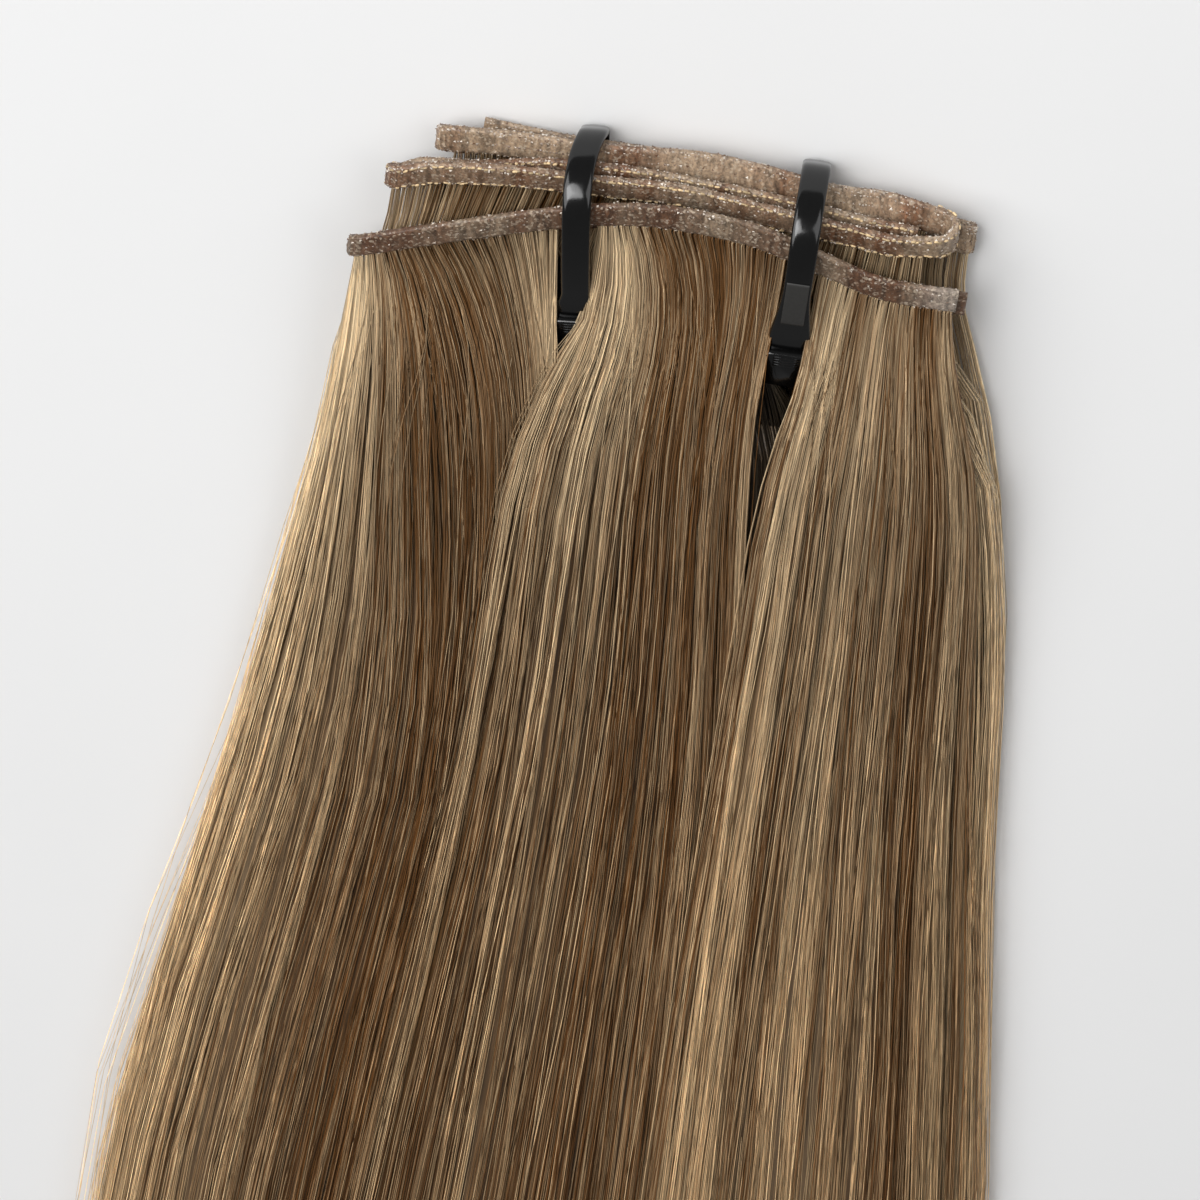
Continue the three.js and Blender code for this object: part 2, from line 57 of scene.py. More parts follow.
# Top edge of each pass of weft from left to right: place, and tilt in degrees that lifts the top edge.
PASSES = {
    "back": {
        "x": (-14.5, -3.5, 13, 27, 38, 47.2),
        "y": (0.1, -0.2, -0.4, -1.8, -3.7, -5.2),
        "z": (1.3, 2.2, 2.2, 2.2, 1.8, 1.3),
        "tilt": (2, 2, 2, 2, 2, 2),
    },
    "second": {
        "x": (-18.6, -3.5, 13, 27, 38, 47.2),
        "y": (-0.9, 0.2, 0.4, -1.2, -3.4, -5),
        "z": (2.8, 3.65, 3.65, 3.6, 3.2, 2.75),
        "tilt": (8, 5, 4, 3, 3, 3),
    },
    "third": {
        "x": (-18.6, -10.5, 2, 13, 21.5, 30, 37, 42.5),
        "y": (0.2, 0.9, 1.1, 1.9, 1.15, -0.35, -0.6, -1.4),
        "z": (4.75, 5.05, 5.2, 5.15, 5.1, 4.75, 4.35, 4.9),
        "tilt": (14, 12, 6, 1, 0, -3, -6, 4),
    },
    "fourth": {
        "x": (-24.2, -21.5, -14.6, -5.1, 7.4, 24.4, 32.8, 41),
        "y": (-5.4, -4, -3, -0.9, -0.5, -1.7, -2.7, -3.4),
        "z": (6.2, 6.4, 6.75, 7.2, 7.25, 7.25, 7.35, 7.4),
        "tilt": (20, 20, 20, 18, 16, 15, 18, 20),
    },
    "fifth": {
        "x": (-24.2, -20, -9.9, 0, 11, 24.6, 32.4, 38.4, 42.5),
        "y": (-4.6, -3, -1.7, -1.4, -0.9, -2.4, -3.3, -3.8, -3.4),
        "z": (8.15, 8.65, 8.95, 9.1, 9.1, 9.1, 9.2, 9.4, 9.2),
        "tilt": (20, 22, 25, 27, 22, 20, 25, 25, 26),
    },
    "front_under": {
        "x": (-28.3, -15.9, -3.7, 7, 20, 29.3, 37.6, 48.3),
        "y": (-15.2, -10.5, -6.1, -3.9, -4.4, -7.1, -9.9, -10.6),
        "z": (8.75, 9.9, 10.4, 10.4, 10.4, 10.3, 9.95, 9.5),
        "tilt": (20, 20, 20, 19, 18, 19, 20, 18),
    },
    "front_over": {
        "x": (-28.3, -15.9, -3.7, 7, 20, 29.3, 37.6, 47.1),
        "y": (-14.3, -9.2, -5, -2.75, -3.3, -6.1, -8.9, -9.4),
        "z": (10.25, 11.35, 11.7, 11.75, 11.75, 11.7, 11.4, 11),
        "tilt": (23, 21, 20, 19, 18, 19, 21, 18),
    },
}

# The order in which each strip is folded: how far each fold bulges past the pass ends, and how light (shade)
# and how gold the coating looks. Shade is painted light and shade that differs from pass to pass; gold is
# partly the coating's own colour and partly a painted sheen that makes the main strip's passes paler than
# the front ones.
STRIPS = {
    "weft_band_main": (
        {"pass": "fourth", "side": -1, "bulge": 1.2, "shade": 1.1, "gold": 0.5},
        {"pass": "fifth", "side": 1, "bulge": 3.1, "shade": 1.12, "gold": 0.5},
        {"pass": "third", "side": -1, "bulge": 1.2, "shade": 1.3, "gold": 0.85},
        {"pass": "second", "side": 1, "bulge": 0.8, "shade": 1.2, "gold": 0.8},
        {"pass": "back", "side": -1, "bulge": 0, "shade": 1.25, "gold": 0.8},
    ),
    "weft_band_front": (
        {"pass": "front_under", "side": -1, "bulge": 0.7, "shade": 0.8, "gold": 0.25},
        {"pass": "front_over", "side": 1, "bulge": 0, "shade": 0.78, "gold": 0.25},
    ),
}

# Outline of all the hair on the surface.
OUTLINE = {
    "y": (-8, -20, -45, -70, -108, -147, -180, -260, -340, -412),
    "left": (-29, -29.3, -30.7, -33.8, -39, -45.8, -49.5, -54, -53, -49),
    "right": (48, 51, 56.5, 60.5, 64.3, 69.5, 73, 77, 76, 72),
}

# Where the front hair parts: both edges of its left, middle and right groups.
PARTINGS = {
    "y": (-8, -17, -30, -42, -60, -93, -161, -260, -412),
    "left_start": (-29.2, -29.2, -29.4, -30, -32, -36.3, -47, -53, -49),
    "left_end": (-3.1, -2, -1.3, -0.8, -1, -2.5, -8, -14, -16),
    "middle_start": (1.2, 0.9, -2.4, -5.4, -6.4, -7.6, -13, -20, -22),
    "middle_end": (25.1, 24.6, 23.9, 24.2, 25.6, 28.6, 31, 33, 34),
    "right_start": (29.3, 29.2, 28.8, 26.8, 26.5, 26, 25.5, 26, 27),
    "right_end": (47.6, 49, 51, 53.2, 55.5, 58.5, 66, 72, 68),
}

# Thickness of one curtain of the main strip and of the double front hair, along the length.
THICKNESS = {
    "y": (-8, -30, -80, -160, -290, -412),
    "main": (0.85, 0.95, 1.1, 1.05, 0.8, 0.35),
    "front": (2.1, 2.2, 2, 1.7, 1.2, 0.5),
}

# The curtains from the surface up. A fan is the length in which the left and right edge reach the outline.
CURTAINS = (
    {"name": "hair_back", "passes": ("back", "back"), "left": -14, "right": 47.9,
     "fan": (95, 18), "strands": 900, "rows": "coarse", "tones": "inner"},
    {"name": "hair_second", "passes": ("second", "second"), "left": -18, "right": 47.9,
     "fan": (80, 18), "strands": 700, "rows": "coarse", "tones": "inner"},
    {"name": "hair_third", "passes": ("third", "third"), "left": -18, "right": 42,
     "fan": (70, 24), "strands": 600, "rows": "coarse", "tones": "inner"},
    {"name": "hair_fourth", "passes": ("fourth", "fourth"), "left": -24.6, "right": 40.6,
     "fan": (30, 30), "strands": 600, "rows": "coarse", "tones": "inner"},
    {"name": "hair_fifth", "passes": ("fifth", "fifth"), "left": -25, "right": 42.2,
     "fan": (24, 36), "strands": 1500, "rows": "fine", "tones": "inner"},
    {"name": "hair_front_left", "passes": ("front_under", "front_over"), "left": -28.6, "right": -3.4,
     "edges": ("left_start", "left_end"), "strands": 1750, "rows": "fine", "tones": "front_left"},
    {"name": "hair_front_middle", "passes": ("front_under", "front_over"), "left": 1.3, "right": 25.2,
     "edges": ("middle_start", "middle_end"), "strands": 1750, "rows": "fine", "tones": "front_middle"},
    {"name": "hair_front_right", "passes": ("front_under", "front_over"), "left": 29.4, "right": 46.8,
     "edges": ("right_start", "right_end"), "strands": 1750, "rows": "fine", "tones": "front_right"},
)

# How far the hair is swept aside just below the weft, at places across a curtain.
COMBING = {
    "across": (0, 0.12, 0.2, 0.45, 0.75, 1),
    "hair_fourth": (0, -2.6, -3.6, -3.8, -3, 0),
    "hair_fifth": (0, -2.6, -3.6, -3.8, -3, 0),
    "hair_front_left": (0, 3.5, 6, 8.5, 4.5, 0),
    "hair_front_middle": (0, 4.5, 6, 6, 2.5, 0),
    "hair_front_right": (0, -0.8, -1.2, -1.3, -0.4, 0),
}

# How far the hair is swept aside more slowly, further down.
SWEEP = {
    "across": (0, 0.12, 0.2, 0.45, 0.75, 1),
    "hair_front_left": (0, 5, 6.5, 2.5, 0.5, 0),
}

# How much of the hair is blond across each kind of curtain, near the weft and low down. A share over 1 is
# paler than the blond colour. The high shares at the outer edges are partly the hair's own blond and partly
# painted light: a painted highlight on the left edge, and lightening against the shade on the right edge.
BLOND_SHARES = {
    "inner": {
        "across": (0, 0.06, 0.12, 0.2, 0.5, 0.8, 1),
        "top": (0.32, 0.28, 0.24, 0.2, 0.2, 0.36, 0.62),
        "low": (1.5, 1.25, 1.1, 0.75, 0.3, 0.62, 1),
    },
    "front_left": {
        "across": (0, 0.1, 0.25, 0.45, 0.7, 0.92, 1),
        "top": (1.2, 1, 0.7, 0.38, 0.15, 0.17, 0.6),
        "low": (1.3, 0.9, 0.52, 0.36, 0.12, 0.06, 0.2),
    },
    "front_middle": {
        "across": (0, 0.15, 0.3, 0.42, 0.6, 0.8, 1),
        "top": (0.42, 0.56, 0.66, 0.48, 0.14, 0.1, 0.12),
        "low": (0.12, 0.16, 0.34, 0.32, 0.24, 0.28, 0.34),
    },
    "front_right": {
        "across": (0, 0.2, 0.45, 0.65, 0.8, 0.92, 1),
        "top": (0.48, 0.5, 0.46, 0.33, 0.16, 0.27, 0.5),
        "low": (0.52, 0.64, 0.72, 0.5, 0.3, 0.38, 0.55),
    },
}
TONE_CHANGE_LENGTH = {"front": 130, "main": 45}
LIGHTEST_BLOND = 1.35

# How strands differ in tone: from their neighbours, less so near the roots, and by depth, where deeper
# strands get painted shade.
BLOND_SPREAD = {"clump": 0.22, "strand": 0.3, "row": 0.1}
VALUE_SPREAD = 0.37
VALUE_LIMITS = (0.35, 1.8)
PAINTED_SHADE_BY_DEPTH = (0.7, 1.05)
SPREAD_AT_ROOT = 0.65
FULL_SPREAD_LENGTH = 120

# The hair is a little warmer further down.
LOW_TINT = (1.06, 0.985, 0.89)
LOW_TINT_LENGTH = 140

# A zone is how far it reaches, and the stretch before that end in which it fades out.
# Painted shade: inner hair is darkened in the gaps that the ties leave between the front groups.
PAINTED_TIE_GAP_SHADE = {"value": 0.09, "zone_across": (6, 3), "top_y": -16, "top_fade": 6, "low_y": -80, "low_fade": 30}

# Hair keeps clear of the straps, and the front hair rises over the heads.
STRAP_CLEARANCE = {"front": 0.15, "main": 0.75}
INNER_STRAP_ZONE = (9, 6)
FRONT_STRAP_START = 1
FRONT_STRAP_FADE = 4
HEAD_ZONE_ACROSS = (4.8, 2.5)
HEAD_ZONE_ALONG = (12, 9)
OVER_HEAD = (0.4, 1.2)

# Heights: how far a curtain holds up the ones above it beyond its own edge, and the settling slope.
SUPPORT = {"main": (8, 18), "front": (3.5, 8)}
SETTLE_START_Y = -20
SETTLE_END_Y = -80
FIRST_LANE_Y = -24
FAN_LENGTH = 30
EDGE_THINNING = 0.35
EDGE_SMOOTHING = 9
SEAT_GAP = 0.3
LOWEST_HAIR = 0.12

# Roots start below the band, spread over its thickness. Deep front strands come from the lower pass.
AXIS_REACH = 2.3
ROOT_GAP = 0.55
ROOT_HALF_THICKNESS = 0.4
ROOT_SIDES = (-0.8, 0.8)
UPPER_PASS_DEPTH = 0.4

# Strands: distances of their rows from the root, their tips and their widths.
ROWS = {
    "fine": (-1.2, 0, 4, 9, 15, 21, 28, 37, 48, 61, 76, 93, 112, 135, 165, 230, 380, 400),
    "coarse": (-1.2, 0, 4, 9, 16, 26, 40, 62, 100, 180, 380, 400),
}
HAIR_SEED = 100
HAIR_LENGTH = 400
TIP_LAYER_STEP = 2.5
TIP_EDGE_SHORTENING = 14
TIP_SCATTER = 12
STRAND_WIDTH_FACTORS = (0.75, 1.2)
STRAND_TIP_WIDTH = 0.55

# Locks open on the way down, and are swept aside by the two tables above.
COMB_LENGTH = 14
SWEEP_START = 25
SWEEP_LENGTH = 75
LOCK_FILL_AT_ROOT = {"front": 0.83, "main": 0.86}
LOCK_FILL_BELOW = 1.4
LEAST_SPREADING = 0.1

# Most strands lie near the top of their curtain.
DEPTH_POWER = 1.5
LOWEST_SHARE = 0.1
SHARE_LIMITS = (0.05, 1.05)

# Below the weft the strands gather into clumps, which wave and drift.
LOOSE_START = 12
LOOSE_LENGTH = 60
GATHER = 0.4
MOST_CLUMPS = 400
CLUMP_WIDTHS = (0.6, 2.2)
CLUMP_WIDTH_CHANGE = 1.9
CLUMP_BLUR = 0.006
CLUMP_ROUNDING = 0.5
CLUMP_WAVE = 0.45
CLUMP_WAVE_MM_PER_RADIAN = 30
CLUMP_DRIFT = 0.004
STRAND_DRIFT = 0.003
STRAND_DRIFT_FREEDOM = 3
DRIFT_START = 15
DRIFT_LENGTH = 180

# Strands weave among each other, and a few cross over the others.
WEAVE_LENGTHS = (50, 100)
WEAVE_WIDTH = 0.3
WEAVE_DEPTH = 0.2
CROSSING_SHARE = 0.03
CROSSING_DEPTH = 0.98
CROSSING_REACH = 4.5
CROSSING_LENGTH = 48
EDGE_SPILL = (0.3, 1.5)

# Hairs that stray past the outer edges, and how far they bow out. They are chosen among a few times as
# many that lie nearest the edge.
STRAYS = (
    {"curtain": "hair_fifth", "side": -1, "count": 12, "reach": (1, 7)},
    {"curtain": "hair_front_right", "side": 1, "count": 9, "reach": (1, 4)},
)
STRAY_CHOICE = 3
STRAY_STARTS = (15, 70)
STRAY_SPANS = (150, 330)

# The dense inside of a curtain: first y, last y and count of its rows, how far it stays from the edges, and
# the shares of the curtain's thickness between which it lies, near the weft and low down.
CORE = {
    "rows": ((-36, -110, 8), (-140, -235, 3)),
    "columns": 16,
    "inset": 3,
    "inset_share": 1 / 8,
    "bottom": 0.05,
    "top": (0.4, 0.12),
    "thinning_y": -110,
    "thinning_length": 125,
    # Painted shade: the core is darkened by this value, and made less blond, as the shade between the
    # strands.
    "value": 0.6,
    "blond": {"front": 0.4, "main": 0.8},
}

# Loop of a tie seen from its side; stray is the share of the tie's sideways slip at that place.
TIE_LOOP = {
    "y": (-4.5, -1.4, 0.4, 1.3, 2, 1.7, 0.4, -1.6, -4.2, -7.5, -11.5, -15.5, -19.5, -22.6, -24.4, -24.7,
          -24.4, -22.6, -19, -11),
    "z": (0.6, 0.6, 1.05, 2.8, 5, 7.4, 9.9, 12, 13.2, 13.3, 12.6, 11.5, 10.1, 9, 7.5, 5,
          2.4, 0.7, 0.6, 0.6),
    "stray": (0.8, 0.95, 1, 1, 0.85, 0.5, 0.15, 0, 0, 0, 0, 0, 0, 0, 0, 0,
              0, 0.1, 0.25, 0.55),
}
TIES = (
    {"name": "cable_tie_left", "x": -1.9, "y": 0, "lean": -0.09, "slip": 1.3, "neck": -17.5, "pad": False},
    {"name": "cable_tie_right", "x": 27.1, "y": -0.55, "lean": 0, "slip": 0.3, "neck": -11, "pad": True},
)
CURVE_STEPS = 24

# How far the left tie reaches past y = 0, which places the tables in the part's frame.
TIE_REACH = 2.767

# Forms of a tie. The head's place is its y and z. Sharpness 2 is an ellipse, and more is squarer.
STRAP = {"points": 180, "sharpness": 3.6, "corners": 24}
NECK = {"end": 22, "above_z": 7.5, "widening": 1.55}
HEAD = {"size": (6.2, 6.2, 4.4), "place": (-24.4, 8.0), "tilt": 14, "levels": 15, "narrowing": 0.13,
        "narrowing_power": 5, "sharpness": 9, "corners": 40}
RIBS = {"count": 4, "first_y": 1.0, "pitch": 0.45, "half_length": 1.7, "sections": 5, "width": 0.32,
        "height": 0.12, "sharpness": 3, "corners": 10}
PAD = {"span": (-16.9, -9.2), "above_z": 8, "width": 2.9, "height": 0.16, "sharpness": 6, "corners": 16,
       "colour": "2c2b29"}

# Weft band: its section, and how its shape and tone differ between stations and round each of them.
BAND_SEED = 11
BAND = {"step": 0.4, "fold_steps": 24, "sharpness": 4.5, "corners": 18, "lumps": (0.03, 0.05),
        "ragged": 0.012, "tone": (0.12, 0.22), "tone_limits": (0.4, 1.8), "patch": 1.6, "patch_stations": 16}
CUT_END = {"pass": "front_over", "length": 7, "colour": "a89a8c"}

# Chips of lacquer on the bands. Their near-white tones are partly the chips' own colour and partly painted
# glints, and there are more of them on the main strip.
FLAKES_PER_STATION = {"weft_band_main": 8, "weft_band_front": 3}
FLAKE = {"reach": (0.1, 0.27), "lift": (-0.03, 0.09), "peak": 0.1, "pale_power": 1.4, "colour": "f2e8da"}

# Stitches: the stretch of the strip by pass number, the face they show on and how far up the band.
STITCH_ROWS = (
    {"strip": "weft_band_main", "from": 0.5, "to": 1.5, "face": 1, "up": 1.7},
    {"strip": "weft_band_main", "from": 0.5, "to": 1.5, "face": 1, "up": -1.65},
    {"strip": "weft_band_main", "from": 0, "to": 0, "face": -1, "up": 1.7},
)
STITCH = {"start": 0.4, "pitch": 0.7, "jitter": 0.1, "missing": 0.06, "lift": 0.9, "wander": 0.09,
          "slant": 0.16, "sides": 6, "half_length": (0.24, 0.44), "radius": (0.11, 0.2), "shoulder": 0.6,
          "value": (0.95, 0.25), "value_limits": (0.4, 1.4)}

# Material numbers in each kind of piece, and socket numbers of the node that mixes two colours.
FIBRE = 0
COATING, THREAD, FLAKES = range(3)
GLOSSY, MATT = range(2)
MIX_FACTOR = 0
MIX_FIRST = 6
MIX_SECOND = 7
MIX_RESULT = 2

# Most values of a cloudy pattern lie in this range.
PATTERN_RANGE = (0.3, 0.7)

# Stage: what the camera aims at, its sensor in millimetres, and in metres its nearest view and the floor.
AIM = (8.09, -66.89, 6.31)
SENSOR_WIDTH = 36
NEAREST_VIEW = 0.05
FLOOR_SIZE = 6
FLOOR_DROP = 0.0001

# Soft lights: place from the aim of the camera, width and power.
LIGHTS = (
    {"name": "left_light", "place": (-0.85, 0.55, 0.9), "size": 1.2, "power": 14.6},
    {"name": "right_light", "place": (0.75, 0.75, 0.9), "size": 1.0, "power": 5.4},
    {"name": "window_light", "place": (-0.38, 0.72, 1.08), "size": 0.6, "power": 6.8},
)


class Part(NamedTuple):
    """Points in millimetres, lists of equal-sided faces, a colour for each point and a material number."""

    points: np.ndarray
    faces: list
    tones: np.ndarray
    material: int
    smooth: bool = True


class Strands(NamedTuple):
    """Middle lines of strands, and the place across the curtain, the depth in it and the clump of each."""

    points: np.ndarray
    lane: np.ndarray
    depth: np.ndarray
    clump: np.ndarray


def ease(t):
    """Smooth step from 0 to 1 as t goes from 0 to 1."""
    c = np.clip(t, 0, 1)
    return c * c * (3 - 2 * c)


def mix(a, b, t):
    return a + (b - a) * t


def linear(code):
    """The linear colour of an sRGB hex code such as '7a6148'."""
    srgb = np.array([int(code[i:i + 2], 16) / 255 for i in (0, 2, 4)])
    return np.where(srgb <= 0.04045, srgb / 12.92, ((srgb + 0.055) / 1.055) ** 2.4)


def read(table, key, name, at):
    """Reads one column of a table at places between its rows, along a smooth curve."""
    keys = np.array(table[key], float)
    values = np.array(table[name], float)
    place = np.asarray(at, float)
    if keys[0] > keys[-1]:
        keys = -keys
        place = -place
    last = len(keys) - 1
    order = np.arange(last + 1)
    before = np.maximum(order - 1, 0)
    after = np.minimum(order + 1, last)
    slopes = (values[after] - values[before]) / (keys[after] - keys[before])
    place = np.clip(place, keys[0], keys[-1])
    i = np.clip(np.searchsorted(keys, place, side="right") - 1, 0, last - 1)
    span = keys[i + 1] - keys[i]
    t = (place - keys[i]) / span
    rise = (1 - t) ** 2 * t * span * slopes[i]
    fall = t ** 2 * (1 - t) * span * slopes[i + 1]
    return mix(values[i], values[i + 1], ease(t)) + rise - fall


def table_origin():
    """Where the tables' origin lies in the part's frame, in metres, found from the two ties."""
    low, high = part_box("cable_tie_right")
    across = (low.x + high.x) / 2 - TIES[1]["x"] * MM
    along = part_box("cable_tie_left")[1].y - TIE_REACH * MM
    return np.array((across, along, 0.0))


ORIGIN = table_origin()


class WeftHairSettings(bpy.types.PropertyGroup):
    """Sizes and colours of the hair extension."""

    band_height: bpy.props.FloatProperty(
        name="Band height", description="Height of the weft band", default=4.0 * MM, unit="LENGTH")
    band_thickness: bpy.props.FloatProperty(
        name="Band thickness", description="Thickness of the weft band", default=1.0 * MM, unit="LENGTH")
    comb_pitch: bpy.props.FloatProperty(
        name="Comb pitch", description="Distance between locks at the weft",
        default=1.36 * MM, unit="LENGTH")
    strand_width: bpy.props.FloatProperty(
        name="Strand width", description="Width of a drawn strand, a few hairs",
        default=0.14 * MM, unit="LENGTH")
    strap_width: bpy.props.FloatProperty(
        name="Strap width", description="Width of a cable tie's strap", default=3.6 * MM, unit="LENGTH")
    strap_thickness: bpy.props.FloatProperty(
        name="Strap thickness", description="Thickness of a cable tie's strap",
        default=1.2 * MM, unit="LENGTH")
    brown: bpy.props.FloatVectorProperty(
        name="Brown hair", description="Colour of the dark locks",
        default=linear("6d4a26"), subtype="COLOR")
    blond: bpy.props.FloatVectorProperty(
        name="Blond hair", description="Colour of the light locks",
        default=linear("e4cca6"), subtype="COLOR")
    coating: bpy.props.FloatVectorProperty(
        name="Weft coating", description="Colour of the coated band",
        default=linear("674834"), subtype="COLOR")
    coating_gold: bpy.props.FloatVectorProperty(
        name="Light coating", description="Colour of the band's lighter patches",
        default=linear("8b7762"), subtype="COLOR")
    thread: bpy.props.FloatVectorProperty(
        name="Stitch thread", description="Colour of the sewing thread",
        default=linear("cfb48a"), subtype="COLOR")
    nylon: bpy.props.FloatVectorProperty(
        name="Tie nylon", description="Colour of the cable ties",
        default=linear("060606"), subtype="COLOR")


class StageSettings(bpy.types.PropertyGroup):
    """Camera and light."""

    view_tilt: bpy.props.FloatProperty(
        name="View tilt", description="Camera's tilt from straight down",
        default=np.radians(35), subtype="ANGLE")
    view_roll: bpy.props.FloatProperty(
        name="View roll", description="Camera's roll about its own axis",
        default=np.radians(8), subtype="ANGLE")
    view_distance: bpy.props.FloatProperty(
        name="View distance", description="Camera's distance from its aim", default=1.1, unit="LENGTH")
    lens: bpy.props.FloatProperty(
        name="Lens", description="Focal length in millimetres for a 36 mm sensor", default=255.6)
    light_power: bpy.props.FloatProperty(
        name="Light power", description="Factor on the power of all the soft lights", default=1.0)
    sky: bpy.props.FloatProperty(
        name="Sky", description="Strength of the even light from all round", default=0.2)


def size_mm(name):
    """One of the sizes in the settings, in millimetres."""
    return getattr(bpy.context.scene.weft_hair, name) / MM


def colour_of(name):
    """One of the linear colours in the settings."""
    return np.array(getattr(bpy.context.scene.weft_hair, name))


def band_up(tilt):
    """Direction from the lower to the top edge of a band with this tilt."""
    angle = np.radians(tilt)
    return np.stack((np.zeros_like(angle), np.cos(angle), np.sin(angle)), axis=-1)


def unit(vectors):
    return vectors / np.linalg.norm(vectors, axis=-1, keepdims=True)


def pass_at(name, x):
    """Middles of a pass at places along the weft, with the tilts there."""
    table = PASSES[name]
    x = np.asarray(x, float)
    tilt = read(table, "x", "tilt", x)
    top = np.stack((x, read(table, "x", "y", x), read(table, "x", "z", x)), axis=-1)
    return top - band_up(tilt) * size_mm("band_height") / 2, tilt


def pass_axes(name, x):
    """Middles of a pass with its directions along the weft, up the band and out of its upper face."""
    middle, tilt = pass_at(name, x)
    ahead, behind = (pass_at(name, np.asarray(x) + step)[0] for step in (AXIS_REACH, -AXIS_REACH))
    along = unit(ahead - behind)
    up = band_up(tilt)
    up = unit(up - along * np.sum(up * along, axis=-1, keepdims=True))
    return middle, along, up, np.cross(along, up)


def root_point(name, x, side):
    """Points just below a pass's lower edge, moved across its thickness by side from -1 to 1."""
    middle, _, up, out = pass_axes(name, x)
    drop = size_mm("band_height") / 2 + ROOT_GAP
    return middle - up * drop + out * (np.asarray(side) * ROOT_HALF_THICKNESS)[..., None], up


def strip_stations(strip, step, fold_steps):
    """Middles, tilts and pass numbers along a folded strip; a fold is numbered between its passes."""
    points = []
    tilts = []
    numbers = []
    for i, row in enumerate(strip):
        ends = PASSES[row["pass"]]["x"]
        count = round((ends[-1] - ends[0]) / step) + 1
        x = np.linspace(ends[0], ends[-1], count)[::row["side"]]
        middle, tilt = pass_at(row["pass"], x)
        points.append(middle)
        tilts.append(tilt)
        numbers.append(np.full(len(middle), float(i)))
        if i == len(strip) - 1:
            break
        following = strip[i + 1]["pass"]
        next_x = PASSES[following]["x"][-1 if row["side"] > 0 else 0]
        to_point, to_tilt = pass_at(following, next_x)
        angle = np.pi * np.arange(1, fold_steps) / fold_steps
        share = (1 - np.cos(angle)) / 2
        bend = mix(middle[-1], to_point, share[:, None])
        bend[:, 0] += row["side"] * row["bulge"] * np.sin(angle)
        points.append(bend)
        tilts.append(mix(tilt[-1], to_tilt, share))
        numbers.append(np.full(len(bend), i + 0.5))
    return np.concatenate(points), np.concatenate(tilts), np.concatenate(numbers)


def is_front(curtain):
    return "edges" in curtain


def kind(curtain):
    """The column of a curtain in tables that tell the front hair from the main hair."""
    return "front" if is_front(curtain) else "main"


def parting(name, y):
    """One edge of a parting, evened out along the hair."""
    places = (y - EDGE_SMOOTHING, y, y + EDGE_SMOOTHING)
    return sum(read(PARTINGS, "y", name, place) for place in places) / len(places)


def curtain_edges(curtain, y):
    """Left and right edge of a curtain at distances along the hair."""
    if is_front(curtain):
        return tuple(parting(name, y) for name in curtain["edges"])
    down = OUTLINE["y"][0] - y
    return tuple(mix(curtain[side], read(OUTLINE, "y", side, y), ease(down / length))
                 for side, length in zip(("left", "right"), curtain["fan"]))


def edge_share(across):
    """Near 0 over most of a curtain's width, rising to 1 at both edges."""
    return (2 * across - 1) ** 4


def curtain_thickness(curtain, x, y):
    """Thickness of a curtain, thinner towards its edges."""
    left, right = curtain_edges(curtain, y)
    across = np.clip((x - left) / (right - left), 0, 1)
    return read(THICKNESS, "y", kind(curtain), y) * mix(EDGE_THINNING, 1, 1 - edge_share(across))


def curtain_support(curtain, x, y):
    """Height by which a curtain lifts what lies on it, fading out beyond its edges."""
    left, right = curtain_edges(curtain, y)
    outside = np.maximum(np.maximum(left - x, x - right), 0)
    full, end = SUPPORT[kind(curtain)]
    held = 1 - ease((outside - full) / (end - full))
    return held * (curtain_thickness(curtain, x, y) + SEAT_GAP)


def held_height(order, x, y):
    """Underside of a curtain while the weft still holds it up."""
    curtain = CURTAINS[order]
    like = [other for other in CURTAINS if other["passes"] == curtain["passes"]]
    inside = np.clip(x, like[0]["left"], like[-1]["right"])
    height = root_point(curtain["passes"][0], inside, -np.ones_like(inside))[0][..., 2]
    if is_front(curtain):
        for other in CURTAINS[:order]:
            if is_front(other):
                height = height + curtain_support(other, x, y)
    return height


def curtain_heights(order, x, y):
    """Underside and top of a curtain anywhere between its root and its tips."""
    curtain = CURTAINS[order]
    settled = ease((SETTLE_START_Y - y) / (SETTLE_START_Y - SETTLE_END_Y))
    thickness = curtain_thickness(curtain, x, y)
    held = held_height(order, x, y)
    lying = sum((curtain_support(other, x, y) for other in CURTAINS[:order]), np.zeros_like(x))
    held_top = held + thickness
    if not is_front(curtain):
        held_top = np.minimum(held_top, held_height(order + 1, x, y) - SEAT_GAP)
    return mix(held, lying, settled), mix(held_top, lying + thickness, settled)


def tie_head_place(tie):
    """Middle of a tie's head."""
    y, z = HEAD["place"]
    return np.array((tie["x"] + tie["lean"] * y, y + tie["y"], z))


def within(distance, zone):
    """1 near the middle of a zone, fading to 0 where it ends on either side."""
    reach, fade = zone
    return ease((reach - np.abs(distance)) / fade)


def clear_of_ties(points, root_x, depth, curtain):
    """Keeps strands on their own side of the ties' straps, and lifts the front ones over the heads."""
    clearance = size_mm("strap_width") / 2 + STRAP_CLEARANCE[kind(curtain)]
    for tie in TIES:
        side = np.where(root_x < tie["x"], -1, 1)[:, None]
        head = tie_head_place(tie)
        away_x = points[..., 0] - (tie["x"] + tie["lean"] * points[..., 1])
        away_y = points[..., 1] - head[1]
        if is_front(curtain):
            along_strap = ease((away_y - FRONT_STRAP_START) / FRONT_STRAP_FADE)
            on_head = within(points[..., 0] - head[0], HEAD_ZONE_ACROSS) * within(away_y, HEAD_ZONE_ALONG)
            over = head[2] + HEAD["size"][2] / 2 + mix(*OVER_HEAD, depth)[:, None]
            points[..., 2] += np.maximum(over - points[..., 2], 0) * on_head * (1 - along_strap)
        else:
            along_strap = within(away_y, INNER_STRAP_ZONE)
        points[..., 0] += np.maximum(clearance - away_x * side, 0) * side * along_strap
    return points


